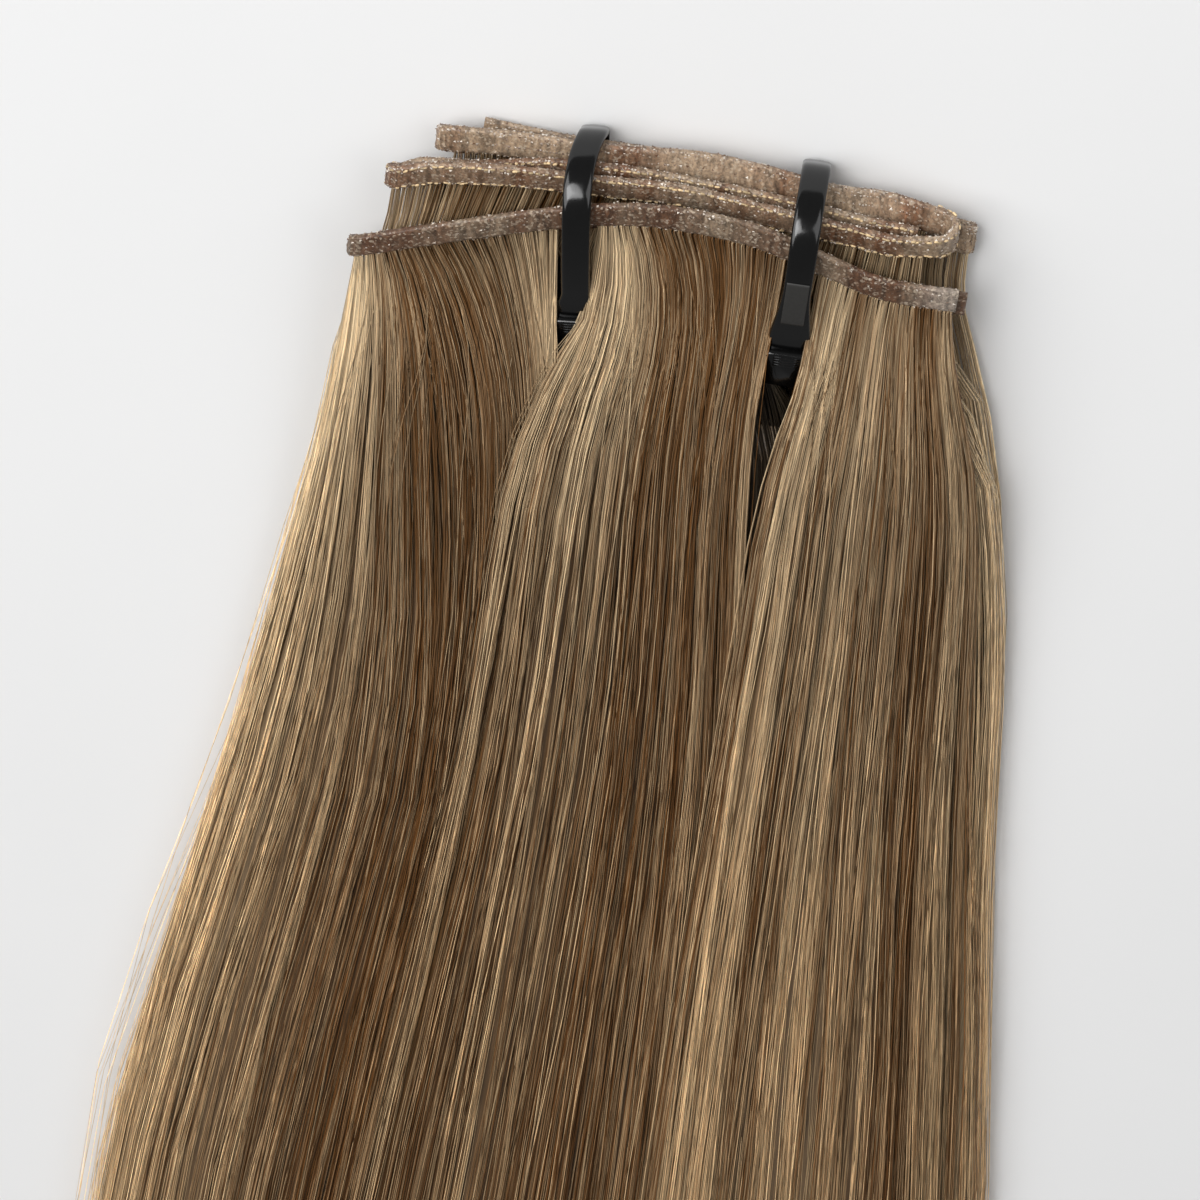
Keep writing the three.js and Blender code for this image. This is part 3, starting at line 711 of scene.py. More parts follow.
def lock_weights(curtain, locks, width):
    """Share of the strands in each lock: more where combing will spread them out."""
    across = (np.arange(locks) + 0.5) / locks
    lane = across
    for table in (COMBING, SWEEP):
        if curtain["name"] in table:
            lane = lane + read(table, "across", curtain["name"], across) / width
    weights = np.sqrt(np.maximum(np.gradient(lane, across), LEAST_SPREADING))
    return weights / weights.sum()


def combed_lanes(curtain, rows, lock, inside, locks, width):
    """Place of each strand across its curtain, from 0 to 1, at every row: locks open and are swept aside."""
    opening = 1 - np.exp(-np.maximum(rows, 0) / COMB_LENGTH)
    swept = ease((rows - SWEEP_START) / SWEEP_LENGTH)
    fill = mix(LOCK_FILL_AT_ROOT[kind(curtain)], LOCK_FILL_BELOW, opening)
    uncombed = (lock[:, None] + 0.5 + inside[:, None] * fill) / locks
    across = uncombed
    for table, opened in ((COMBING, opening), (SWEEP, swept)):
        if curtain["name"] in table:
            across = across + read(table, "across", curtain["name"], uncombed) / width * opened
    return across


def clumps_of(lane, width, rng):
    """Clump number of each strand, and the middle and half width of that clump across the curtain."""
    widths = rng.uniform(*CLUMP_WIDTHS, MOST_CLUMPS) / (CLUMP_WIDTH_CHANGE * width)
    ends = np.cumsum(widths)
    clump = np.searchsorted(ends, lane + rng.normal(0, CLUMP_BLUR, len(lane)))
    return clump, (ends - widths / 2)[clump], widths[clump] / 2


def strand_roots(curtain, root_x, depth, rng):
    """Roots of strands on the lower or the upper pass by their depth, and the direction up the band."""
    side = rng.uniform(*ROOT_SIDES, len(depth))
    under, over = (root_point(name, root_x, side) for name in curtain["passes"])
    from_over = (depth > UPPER_PASS_DEPTH)[:, None]
    return np.where(from_over, over[0], under[0]), np.where(from_over, over[1], under[1])


def weaving(rows, count, rng):
    """Waves between -1 and 1 by which strands weave among their neighbours."""
    length = rng.uniform(*WEAVE_LENGTHS, count)[:, None]
    return np.sin(2 * np.pi * (rows / length + rng.random(count)[:, None]))


def strand_sway(rows, loose, clump, crossing, rng):
    """Sideways wander of strands: clumps wave and drift, strands weave and a few cross the others."""
    count = len(clump)
    phase = rng.uniform(0, 2 * np.pi, MOST_CLUMPS + 1)[clump][:, None]
    drift = rng.normal(0, CLUMP_DRIFT, MOST_CLUMPS + 1)[clump]
    drift = drift + rng.standard_t(STRAND_DRIFT_FREEDOM, count) * STRAND_DRIFT
    sway = loose * CLUMP_WAVE * np.sin(rows / CLUMP_WAVE_MM_PER_RADIAN + phase)
    sway = sway + drift[:, None] * np.clip(rows - DRIFT_START, 0, DRIFT_LENGTH)
    sway = sway + loose * WEAVE_WIDTH * weaving(rows, count, rng)
    swing = np.where(crossing, rng.normal(0, CROSSING_REACH, count), 0)
    return sway + swing[:, None] * ease(rows / CROSSING_LENGTH)


def swayed_inside(lane_x, sway, left, right, rng):
    """Places of strands after their sway, which is damped so that they pass their curtain's edges little."""
    spill = rng.uniform(*EDGE_SPILL, len(lane_x))[:, None]
    room = np.where(sway > 0, right - lane_x, lane_x - left) + spill
    room = np.maximum(room, EDGE_SPILL[0])
    return lane_x + sway * room / (room + np.abs(sway))


def strand_paths(order, rng):
    """The strands of a curtain: combed, gathered into clumps and laid between its underside and top."""
    curtain = CURTAINS[order]
    count = curtain["strands"]
    rows = np.array(ROWS[curtain["rows"]], float)
    width = curtain["right"] - curtain["left"]
    locks = round(width / size_mm("comb_pitch"))
    lock = rng.choice(locks, count, p=lock_weights(curtain, locks, width))
    inside = rng.uniform(-0.5, 0.5, count)
    depth = 1 - rng.random(count) ** DEPTH_POWER
    crossing = rng.random(count) < CROSSING_SHARE
    depth = np.where(crossing, CROSSING_DEPTH, depth)

    across = combed_lanes(curtain, rows, lock, inside, locks, width)
    lane = across[:, -1]
    clump, middle, half = clumps_of(lane, width, rng)
    loose = ease((rows - LOOSE_START) / LOOSE_LENGTH)
    across = mix(across, middle[:, None], GATHER * loose)
    root_x = mix(curtain["left"], curtain["right"], across[:, 1])
    root, root_up = strand_roots(curtain, root_x, depth, rng)

    tip_y = TIP_LAYER_STEP * order - HAIR_LENGTH + TIP_EDGE_SHORTENING * edge_share(across[:, -1])
    tip_y = tip_y + rng.uniform(0, TIP_SCATTER, count)
    y = root[:, 1:2] + (tip_y - root[:, 1])[:, None] * np.maximum(rows, 0) / HAIR_LENGTH
    left, right = curtain_edges(curtain, y)
    lane_x = mix(left, right, across)
    under, over = curtain_heights(order, lane_x, np.minimum(y, FIRST_LANE_Y))
    rounded = 1 - CLUMP_ROUNDING * loose * np.clip((lane - middle) / half, -1, 1)[:, None] ** 2
    share = mix(LOWEST_SHARE, 1, depth[:, None] * rounded)
    share = share + loose * WEAVE_DEPTH * weaving(rows, count, rng)
    lane_z = mix(under, over, np.clip(share, *SHARE_LIMITS))
    sway = strand_sway(rows, loose, clump, crossing, rng)
    lane_x = swayed_inside(lane_x, sway, left, right, rng)

    below = root[:, 1:2] - y
    fanned = np.clip(below / FAN_LENGTH, 0, 1)
    start_x = mix(curtain["left"], curtain["right"], across)
    x = mix(start_x, lane_x, 1 - (1 - fanned) ** 2)
    z = mix(root[:, 2:3], lane_z, np.clip(below / (root[:, 1:2] - FIRST_LANE_Y), 0, 1))
    points = np.stack((x, y, z), axis=-1)
    points[:, 0] += root_up * -rows[0]
    points = clear_of_ties(points, root_x, depth, curtain)
    points[..., 0] += stray_bows(curtain, lane, rows, rng)
    points[..., 2] = np.maximum(points[..., 2], LOWEST_HAIR)
    return Strands(points, lane, depth, clump)


def stray_bows(curtain, lane, rows, rng):
    """Sideways bows of a few hairs that stray past the outer edge of their curtain."""
    bows = np.zeros((len(lane), len(rows)))
    for row in STRAYS:
        if row["curtain"] != curtain["name"]:
            continue
        count = row["count"]
        nearest = np.argsort(lane * -row["side"])[:count * STRAY_CHOICE]
        chosen = rng.choice(nearest, count, replace=False)
        start = rng.uniform(*STRAY_STARTS, count)[:, None]
        span = rng.uniform(*STRAY_SPANS, count)[:, None]
        reach = rng.uniform(*row["reach"], count)[:, None]
        bows[chosen] = row["side"] * reach * np.sin(np.pi * np.clip((rows - start) / span, 0, 1)) ** 2
    return bows


def copies(grid, faces, tones, material, smooth=True):
    """Many small shapes with the same faces: a row of points for each, and one tone or a row of tones."""
    count, size, _ = grid.shape
    base = (np.arange(count) * size)[:, None, None]
    all_faces = [(face[None] + base).reshape(-1, face.shape[1]) for face in faces]
    all_tones = np.broadcast_to(tones, grid.shape).reshape(-1, 3)
    return Part(grid.reshape(-1, 3), all_faces, all_tones, material, smooth)


def strand_tubes(points, radii, tones):
    """Closed three-sided tubes along strands, each ending in a point."""
    count, rows, _ = points.shape
    angle = np.radians((90, 210, 330))
    ring = np.stack((np.cos(angle), np.zeros(3), np.sin(angle)), axis=-1)
    body = points[:, :-1, None, :] + ring * radii[:, :-1, None, None]
    grid = np.concatenate((body.reshape(count, -1, 3), points[:, -1:, :]), axis=1)
    row, corner = np.meshgrid(np.arange(rows - 2), np.arange(3), indexing="ij")
    following = (corner + 1) % 3
    quads = np.stack((row * 3 + corner, row * 3 + following,
                      (row + 1) * 3 + following, (row + 1) * 3 + corner), axis=-1).reshape(-1, 4)
    last = (rows - 2) * 3
    tip = last + 3
    ends = np.array(((0, 2, 1), (last, last + 1, tip), (last + 1, last + 2, tip), (last + 2, last, tip)))
    row_tones = np.concatenate((np.repeat(tones[:, :-1], 3, axis=1), tones[:, -1:]), axis=1)
    return copies(grid, [quads, ends], row_tones, FIBRE)


def sheet(under, over, tones, material):
    """A closed sheet between two grids of points."""
    rows, columns, _ = under.shape
    size = rows * columns
    grid = np.arange(size).reshape(rows, columns)
    quad = np.stack((grid[:-1, :-1], grid[:-1, 1:], grid[1:, 1:], grid[1:, :-1]), axis=-1).reshape(-1, 4)
    rim = np.concatenate((grid[0, :-1], grid[:-1, -1], grid[-1, :0:-1], grid[:0:-1, 0]))
    turn = np.roll(rim, -1)
    walls = np.stack((rim, turn, turn + size, rim + size), axis=-1)
    points = np.concatenate((under.reshape(-1, 3), over.reshape(-1, 3)))
    faces = [quad, quad[:, ::-1] + size, walls[:, ::-1]]
    return Part(points, faces, np.tile(tones.reshape(-1, 3), (2, 1)), material)


def hair_core(order):
    """The dense inside of a curtain, below the strands that show, darkened and made less blond as painted
    shade between the strands.
    """
    curtain = CURTAINS[order]
    share = np.linspace(0, 1, CORE["columns"])
    y = np.concatenate([np.linspace(*rows) for rows in CORE["rows"]])
    left, right = curtain_edges(curtain, y)
    inset = np.minimum(CORE["inset"], (right - left) * CORE["inset_share"])
    x = mix((left + inset)[:, None], (right - inset)[:, None], share)
    y = np.repeat(y[:, None], len(share), axis=1)
    under, over = curtain_heights(order, x, y)
    thinned = ease((CORE["thinning_y"] - y) / CORE["thinning_length"])
    low = mix(under, over, CORE["bottom"])
    high = mix(under, over, mix(*CORE["top"], thinned))
    # Painted shade: the core is less blond and darker than the strands above it.
    blond = np.minimum(read(BLOND_SHARES[curtain["tones"]], "across", "low", share), 1)
    blond = CORE["blond"][kind(curtain)] * blond[:, None]
    tone = mix(colour_of("brown"), colour_of("blond"), blond) * CORE["value"]
    tones = np.repeat(tone[None], len(y), axis=0)
    return sheet(np.stack((x, y, low), axis=-1), np.stack((x, y, high), axis=-1), tones, FIBRE)


def painted_tie_gap_shade(tie, points):
    """Factor of painted shade that darkens inner hair in the gap below a tie's head."""
    y = points[..., 1]
    beside = within(points[..., 0] - tie_head_place(tie)[0], PAINTED_TIE_GAP_SHADE["zone_across"])
    above_end = ease((y - PAINTED_TIE_GAP_SHADE["low_y"]) / PAINTED_TIE_GAP_SHADE["low_fade"])
    below_start = ease((PAINTED_TIE_GAP_SHADE["top_y"] - y) / PAINTED_TIE_GAP_SHADE["top_fade"])
    return mix(1, PAINTED_TIE_GAP_SHADE["value"], beside * above_end * below_start)


def strand_tones(curtain, strands, rng):
    """Linear colours along each strand: blond and brown locks, with painted shade deep in a curtain and in
    the gaps.
    """
    rows = np.array(ROWS[curtain["rows"]], float)
    table = BLOND_SHARES[curtain["tones"]]
    count = len(strands.lane)
    top, low = (read(table, "across", column, strands.lane)[:, None] for column in ("top", "low"))
    own = rng.normal(0, BLOND_SPREAD["clump"], strands.clump.max() + 2)[strands.clump]
    own = own + rng.normal(0, BLOND_SPREAD["strand"], count)
    spread = mix(SPREAD_AT_ROOT, 1, ease(rows / FULL_SPREAD_LENGTH))
    blond = mix(top, low, ease(rows / TONE_CHANGE_LENGTH[kind(curtain)])) + own[:, None] * spread
    blond = np.clip(blond + rng.normal(0, BLOND_SPREAD["row"], blond.shape), 0, LIGHTEST_BLOND)
    colour = mix(colour_of("brown"), colour_of("blond"), blond[..., None])
    colour = colour * mix(np.ones(3), np.array(LOW_TINT), ease(rows / LOW_TINT_LENGTH)[:, None])
    value = 1 + rng.normal(0, VALUE_SPREAD, count)[:, None] * spread ** 2
    # Painted shade: strands lying deeper in a curtain are darker.
    value = np.clip(value, *VALUE_LIMITS) * mix(*PAINTED_SHADE_BY_DEPTH, strands.depth)[:, None]
    colour = colour * value[..., None]
    # Painted shade in the gaps below the ties' heads.
    if not is_front(curtain):
        for tie in TIES:
            colour = colour * painted_tie_gap_shade(tie, strands.points)[..., None]
    return colour


def build_piece(name, parts, materials):
    """One mesh object, in metres in the part's frame, from parts."""
    points = np.concatenate([part.points for part in parts]) * MM + ORIGIN
    tones = np.concatenate([part.tones for part in parts])
    corners = []
    sides = []
    numbers = []
    smooth = []
    start = 0
    for part in parts:
        for faces in part.faces:
            corners.append((faces + start).ravel())
            sides.append(np.full(len(faces), faces.shape[1]))
            numbers.append(np.full(len(faces), part.material))
            smooth.append(np.full(len(faces), part.smooth))
        start += len(part.points)
    corners = np.concatenate(corners)
    sides = np.concatenate(sides)
    mesh = bpy.data.meshes.new(name)
    mesh.vertices.add(len(points))
    mesh.vertices.foreach_set("co", points.astype(np.float32).ravel())
    mesh.loops.add(len(corners))
    mesh.loops.foreach_set("vertex_index", corners.astype(np.int32))
    mesh.polygons.add(len(sides))
    mesh.polygons.foreach_set("loop_start", (np.cumsum(sides) - sides).astype(np.int32))
    mesh.polygons.foreach_set("material_index", np.concatenate(numbers).astype(np.int32))
    mesh.polygons.foreach_set("use_smooth", np.concatenate(smooth))
    mesh.update(calc_edges=True)
    if mesh.validate():
        raise RuntimeError(f"{name} has faces that are not sound")
    colours = mesh.color_attributes.new("tone", "FLOAT_COLOR", "POINT")
    rgba = np.concatenate((tones, np.ones((len(tones), 1))), axis=1)
    colours.data.foreach_set("color", rgba.astype(np.float32).ravel())
    for material in materials:
        mesh.materials.append(material)
    piece = bpy.data.objects.new(name, mesh)
    bpy.context.scene.collection.objects.link(piece)
    return piece


def place_piece(piece, node):
    """Joins a piece to the frame in the place of its solid."""
    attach(piece, "root")
    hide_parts(node)


def add_node(tree, kind, values=None, links=None):
    """Adds a shader node, sets its sockets or fields, and links sockets into it."""
    node = tree.nodes.new(kind)
    for key, value in (values or {}).items():
        if isinstance(key, int) or key in node.inputs:
            node.inputs[key].default_value = value
        else:
            setattr(node, key, value)
    for key, socket in (links or {}).items():
        tree.links.new(socket, node.inputs[key])
    return node


def new_material(name):
    """An empty node material with its output."""
    material = bpy.data.materials.new(name)
    material.use_nodes = True
    material.node_tree.nodes.clear()
    return material, material.node_tree


def finish_material(tree, values, links):
    """Ends a material in one principled surface."""
    surface = add_node(tree, "ShaderNodeBsdfPrincipled", values, links)
    add_node(tree, "ShaderNodeOutputMaterial", links={"Surface": surface.outputs["BSDF"]})


def scaled_place(tree, size):
    """Object coordinates in which one unit is this many millimetres along x, y and z."""
    place = add_node(tree, "ShaderNodeTexCoord")
    scale = [1 / (length * MM) for length in size]
    mapped = add_node(tree, "ShaderNodeMapping", {"Scale": scale}, {"Vector": place.outputs["Object"]})
    return mapped.outputs["Vector"]


def noise(tree, size, detail, roughness=0.5):
    """A cloudy pattern whose patches are this many millimetres along x, y and z."""
    pattern = add_node(tree, "ShaderNodeTexNoise", {"Scale": 1.0, "Detail": detail, "Roughness": roughness},
                       {"Vector": scaled_place(tree, size)})
    return pattern.outputs["Fac"]


def ranged(tree, pattern, source, target):
    """A pattern's values moved from one range to another."""
    values = {"From Min": source[0], "From Max": source[1], "To Min": target[0], "To Max": target[1]}
    return add_node(tree, "ShaderNodeMapRange", values, {"Value": pattern}).outputs["Result"]


def tinted(tree, pattern, low, high):
    """The piece's own tone, darkened and lightened between two factors by a pattern."""
    tone = add_node(tree, "ShaderNodeAttribute", {"attribute_name": "tone"})
    factor = ranged(tree, pattern, PATTERN_RANGE, (low, high))
    scaled = add_node(tree, "ShaderNodeVectorMath", {"operation": "SCALE"},
                      {0: tone.outputs["Color"], "Scale": factor})
    return scaled.outputs["Vector"]


def bumped(tree, pattern, strength, height):
    """A surface raised by a pattern, up to a height in millimetres."""
    bump = add_node(tree, "ShaderNodeBump", {"Strength": strength, "Distance": height * MM},
                    {"Height": pattern})
    return bump.outputs["Normal"]


def hair_material():
    """Human hair fibre, combed straight: satin strands with fine lengthwise streaks."""
    material, tree = new_material("straight_human_hair")
    # A real hair is about 0.07 mm wide, too fine to show, so the streaks are drawn 0.25 mm wide.
    streak = noise(tree, (0.25, 20, 0.25), detail=3.0)
    colour = tinted(tree, streak, low=0.68, high=1.3)
    finish_material(tree, {"Roughness": 0.32, "IOR": 1.55}, {"Base Color": colour})
    return material


def coating_material():
    """Sewn hair under a thin brushed-on lacquer: mottled brown, ribbed by the hairs, with small light spots
    painted as glints.
    """
    material, tree = new_material("lacquered_sewn_weft")
    # The hairs under the lacquer are too fine to show, so the grain and the painted glints are drawn 0.3 to
    # 0.4 mm wide.
    grain = noise(tree, (0.3, 0.4, 0.3), detail=4.0, roughness=0.7)
    glint_chips = add_node(tree, "ShaderNodeTexVoronoi", {"Scale": 1.0},
                     {"Vector": scaled_place(tree, (0.32, 0.32, 0.32))})
    chosen = add_node(tree, "ShaderNodeSeparateColor", links={"Color": glint_chips.outputs["Color"]})
    # Painted glints: light spots mixed into the coating's colour.
    painted_glint_cover = ranged(tree, chosen.outputs["Red"], (0.75, 1.0), (0.0, 0.45))
    grained = tinted(tree, grain, low=0.45, high=1.5)
    mottled = add_node(tree, "ShaderNodeMix", {"data_type": "RGBA", MIX_SECOND: (*linear("dccbb4"), 1)},
                       {MIX_FACTOR: painted_glint_cover, MIX_FIRST: grained})
    shine = ranged(tree, grain, (0.45, 0.62), (0.55, 0.2))
    finish_material(tree, {"IOR": 1.5}, {"Base Color": mottled.outputs[MIX_RESULT], "Roughness": shine,
                                         "Normal": bumped(tree, grain, strength=0.7, height=0.12)})
    return material


def flake_material():
    """Chips of dried lacquer on the weft: smooth little faces that catch the light, in tones that are partly
    painted glints.
    """
    material, tree = new_material("lacquer_chips_with_painted_glints")
    clouding = noise(tree, (0.5, 0.5, 0.5), detail=1.0)
    colour = tinted(tree, clouding, low=0.8, high=1.1)
    finish_material(tree, {"Roughness": 0.18, "IOR": 1.5}, {"Base Color": colour})
    return material


def thread_material():
    """Twisted polyester sewing thread: pale gold with a soft sheen."""
    material, tree = new_material("gold_polyester_thread")
    # The thread's own fibres are too fine to show, so its twist is drawn 0.25 mm wide.
    twist = noise(tree, (0.25, 0.25, 0.25), detail=2.0)
    colour = tinted(tree, twist, low=0.75, high=1.2)
    finish_material(tree, {"Roughness": 0.35, "IOR": 1.55}, {"Base Color": colour})
    return material


def nylon_material(name, roughness, coarseness):
    """Injection-moulded black nylon, smooth or textured by its mould."""
    material, tree = new_material(name)
    # A mould's grain is too fine to show, so it is drawn 0.3 to 0.8 mm wide.
    mould = noise(tree, (coarseness, coarseness, coarseness), detail=3.0)
    colour = tinted(tree, mould, low=0.85, high=1.15)
    normal = bumped(tree, mould, strength=0.15, height=0.03)
    finish_material(tree, {"Roughness": roughness, "IOR": 1.53}, {"Base Color": colour, "Normal": normal})
    return material


def floor_material():
    """Matt white-painted board under the hair, faintly clouded."""
    material, tree = new_material("matt_white_board")
    paint = noise(tree, (40, 40, 40), detail=2.0)
    shade = ranged(tree, paint, (0, 1), (0.77, 0.79))
    colour = add_node(tree, "ShaderNodeCombineColor", links={"Red": shade, "Green": shade, "Blue": shade})
    finish_material(tree, {"Roughness": 0.9, "IOR": 1.45}, {"Base Color": colour.outputs["Color"]})
    return material


def rounded_section(width, height, sharpness, count):
    """A rounded rectangle as pairs of distances along its two directions."""
    angle = 2 * np.pi * (np.arange(count) + 0.5) / count
    power = 2 / sharpness
    u = np.sign(np.cos(angle)) * np.abs(np.cos(angle)) ** power * width / 2
    v = np.sign(np.sin(angle)) * np.abs(np.sin(angle)) ** power * height / 2
    return u, v


def loft(rings, closed, tones, material):
    """Joins rings of points into a closed tube, or one with flat ends, in one tone or a tone for each."""
    count, size, _ = rings.shape
    ring = np.arange(count if closed else count - 1)[:, None]
    corner = np.arange(size)[None, :]
    following = (corner + 1) % size
    ahead = (ring + 1) % count
    quads = np.stack((ring * size + corner, ring * size + following,
                      ahead * size + following, ahead * size + corner), axis=-1).reshape(-1, 4)
    faces = [quads]
    if not closed:
        faces.append(np.arange(size)[None, ::-1])
        faces.append(np.arange(size)[None, :] + (count - 1) * size)
    return Part(rings.reshape(-1, 3), faces, np.broadcast_to(tones, rings.shape).reshape(-1, 3), material)


def strip_axes(strip):
    """Middles along a folded strip with its directions up and out, and the pass numbers."""
    middles, tilts, numbers = strip_stations(strip, BAND["step"], BAND["fold_steps"])
    up = band_up(tilts)
    return middles, up, unit(np.cross(np.gradient(middles, axis=0), up)), numbers


def uneven(spread, count, size, rng):
    """Random differences between the stations of a strip and between the points round each station."""
    station, point = spread
    return rng.normal(0, station, (count, 1)) + rng.normal(0, point, (count, size))


def weft_band(strip, rng):
    """A folded weft band, ribbed by the hairs under its coating, and the rings of points round it."""
    middles, up, out, numbers = strip_axes(strip)
    thickness = size_mm("band_thickness")
    u, v = rounded_section(size_mm("band_height"), thickness, BAND["sharpness"], BAND["corners"])
    count = len(middles)
    swell = 1 + uneven(BAND["lumps"], count, len(u), rng) / (thickness / 2)
    ragged = 1 + rng.normal(0, BAND["ragged"], (count, 1))
    rings = middles[:, None] + up[:, None] * (u * ragged)[..., None] + out[:, None] * (v * swell)[..., None]
    value = np.clip(1 + uneven(BAND["tone"], count, len(u), rng), *BAND["tone_limits"])
    gold, shade = (np.interp(numbers, np.arange(len(strip)), [row[column] for row in strip])
                   for column in ("gold", "shade"))
    smoothing = np.ones(BAND["patch_stations"]) / BAND["patch_stations"]
    patch = gold + np.convolve(rng.normal(0, BAND["patch"], count), smoothing, mode="same")
    colour = mix(colour_of("coating"), colour_of("coating_gold"), np.clip(patch, 0, 1)[:, None])
    # Painted light and shade: each pass of the one coating is made lighter or darker by its shade.
    colour = colour * shade[:, None]
    if strip[-1]["pass"] == CUT_END["pass"]:
        cut = ease((middles[:, 0] - middles[-1, 0] + CUT_END["length"]) / CUT_END["length"])
        colour = mix(colour, linear(CUT_END["colour"]), (cut * (numbers == numbers[-1]))[:, None])
    return loft(rings, False, colour[:, None] * value[..., None], COATING), rings


def coating_flakes(rings, count, rng):
    """Small raised flakes of dried coating that catch the light, tinted towards near-white as partly painted
    glints.
    """
    stations, size, _ = rings.shape
    station = rng.integers(1, stations - 1, count)
    corner = rng.integers(0, size, count)
    centre = rings[station, corner]
    out = unit(centre - rings[station].mean(axis=1))
    along = unit(rings[station + 1, corner] - rings[station - 1, corner])
    side = np.cross(out, along)
    reach = rng.uniform(*FLAKE["reach"], count)[:, None]
    angle = rng.uniform(0, 2 * np.pi, count)
    points = []
    for turn in np.radians((0, 120, 240)):
        a = (angle + turn)[:, None]
        lift = rng.uniform(*FLAKE["lift"], count)[:, None]
        points.append(centre + (along * np.cos(a) + side * np.sin(a)) * reach + out * lift)
    points.append(centre + out * FLAKE["peak"])
    faces = np.array(((0, 1, 3), (1, 2, 3), (2, 0, 3), (0, 2, 1)))
    # Painted glints: many flakes are tinted towards near-white.
    pale = rng.random(count)[:, None, None] ** FLAKE["pale_power"]
    tones = mix(colour_of("coating"), linear(FLAKE["colour"]), pale)
    return copies(np.stack(points, axis=1), [faces], tones, FLAKES, smooth=False)


def distances(line):
    """Distance travelled along a line of points at each of them."""
    return np.concatenate(((0,), np.cumsum(np.linalg.norm(np.diff(line, axis=0), axis=1))))


def stitches(row, rng):
    """One row of short uneven thread stitches along a strip, as small spindles."""
    middles, ups, outs, numbers = strip_axes(STRIPS[row["strip"]])
    chosen = np.where((numbers >= row["from"]) & (numbers <= row["to"]))[0]
    travelled = distances(middles[chosen])
    place = np.arange(STITCH["start"], travelled[-1], STITCH["pitch"])
    place = place + rng.normal(0, STITCH["jitter"], len(place))
    place = place[rng.random(len(place)) > STITCH["missing"]]
    count = len(place)
    station = chosen[np.clip(np.searchsorted(travelled, place), 1, len(chosen) - 2)]
    up = ups[station]
    out = outs[station] * row["face"]
    along = unit(middles[station + 1] - middles[station - 1])
    lift = size_mm("band_thickness") / 2 * STITCH["lift"]
    offset = row["up"] + rng.normal(0, STITCH["wander"], count)
    centre = (middles[station] + up * offset[:, None] + out * lift)[:, None]
    slant = unit(along + up * rng.normal(0, STITCH["slant"], count)[:, None])
    side = unit(np.cross(out, slant))

    sides = STITCH["sides"]
    corner = np.arange(sides)
    angle = (2 * np.pi * corner / sides)[None, :, None]
    circle = side[:, None] * np.cos(angle) + out[:, None] * np.sin(angle)
    half = slant[:, None] * rng.uniform(*STITCH["half_length"], count)[:, None, None]
    ring = circle * rng.uniform(*STITCH["radius"], count)[:, None, None]
    shoulder = half * STITCH["shoulder"]
    grid = np.concatenate((centre - shoulder + ring, centre + shoulder + ring, centre - half, centre + half),
                          axis=1)
    following = (corner + 1) % sides
    first_tip = np.full(sides, 2 * sides)
    quads = np.stack((corner, following, following + sides, corner + sides), axis=-1)
    caps = np.concatenate((np.stack((following, corner, first_tip), axis=-1),
                           np.stack((corner + sides, following + sides, first_tip + 1), axis=-1)))
    value = np.clip(rng.normal(*STITCH["value"], count), *STITCH["value_limits"])[:, None, None]
    return copies(grid, [quads, caps], colour_of("thread") * value, THREAD)


def closed_curve(points, count):
    """Evenly spaced points on a smooth closed curve through the given ones."""
    t = (np.arange(CURVE_STEPS) / CURVE_STEPS)[None, :, None]
    a, b, c, d = (np.roll(points, shift, axis=0)[:, None] for shift in (1, 0, -1, -2))
    bend = 2 * a - 5 * b + 4 * c - d
    twist = 3 * b - a - 3 * c + d
    curve = (2 * b + (c - a) * t + bend * t ** 2 + twist * t ** 3).reshape(-1, 3) / 2
    loop = np.concatenate((curve, curve[:1]))
    travelled = distances(loop)
    wanted = np.linspace(0, travelled[-1], count, endpoint=False)
    return np.stack([np.interp(wanted, travelled, loop[:, k]) for k in range(3)], axis=-1)


def tie_line(tie):
    """Points along a tie's strap, with the directions across it and out of its loop."""
    y = np.array(TIE_LOOP["y"])
    x = tie["x"] + tie["lean"] * y + tie["slip"] * np.array(TIE_LOOP["stray"])
    corners = np.stack((x, y + tie["y"], np.array(TIE_LOOP["z"])), axis=-1)
    line = closed_curve(corners, STRAP["points"])
    line[:, 2] = np.maximum(line[:, 2], size_mm("strap_thickness") / 2)
    along = unit(np.roll(line, -1, axis=0) - np.roll(line, 1, axis=0))
    across = np.broadcast_to(unit(np.array((1, -tie["lean"], 0))), along.shape)
    return line, across, unit(np.cross(along, across))


def tie_strap(tie):
    """The strap of a tie with softly rounded edges, widening into a neck at the head."""
    line, across, out = tie_line(tie)
    width = size_mm("strap_width")
    u, v = rounded_section(width, size_mm("strap_thickness"), STRAP["sharpness"], STRAP["corners"])
    neck = ease((tie["y"] + tie["neck"] - line[:, 1]) / (tie["neck"] + NECK["end"]))
    neck = np.where(line[:, 2] > NECK["above_z"], neck, 0)
    wide = u * mix(1, NECK["widening"], neck)[:, None]
    rings = line[:, None] + across[:, None] * wide[..., None] + out[:, None] * v[:, None]
    return loft(rings, True, colour_of("nylon"), GLOSSY)


def tie_head(tie):
    """The head of a tie, a rounded block sloping with the strap that leaves it, and how it is turned."""
    width, length, height = HEAD["size"]
    u, v = rounded_section(width, length, HEAD["sharpness"], HEAD["corners"])
    level = np.linspace(-1, 1, HEAD["levels"])[:, None]
    scale = 1 - HEAD["narrowing"] * np.abs(level) ** HEAD["narrowing_power"]
    tilt = Matrix.Rotation(np.radians(HEAD["tilt"]), 3, "X")
    turn = np.array(Matrix.Rotation(-np.arctan(tie["lean"]), 3, "Z") @ tilt)
    flat = np.stack(np.broadcast_arrays(u * scale, v * scale, level * height / 2), axis=-1)
    rings = flat @ turn.T + tie_head_place(tie)
    return loft(rings, False, colour_of("nylon"), GLOSSY), turn


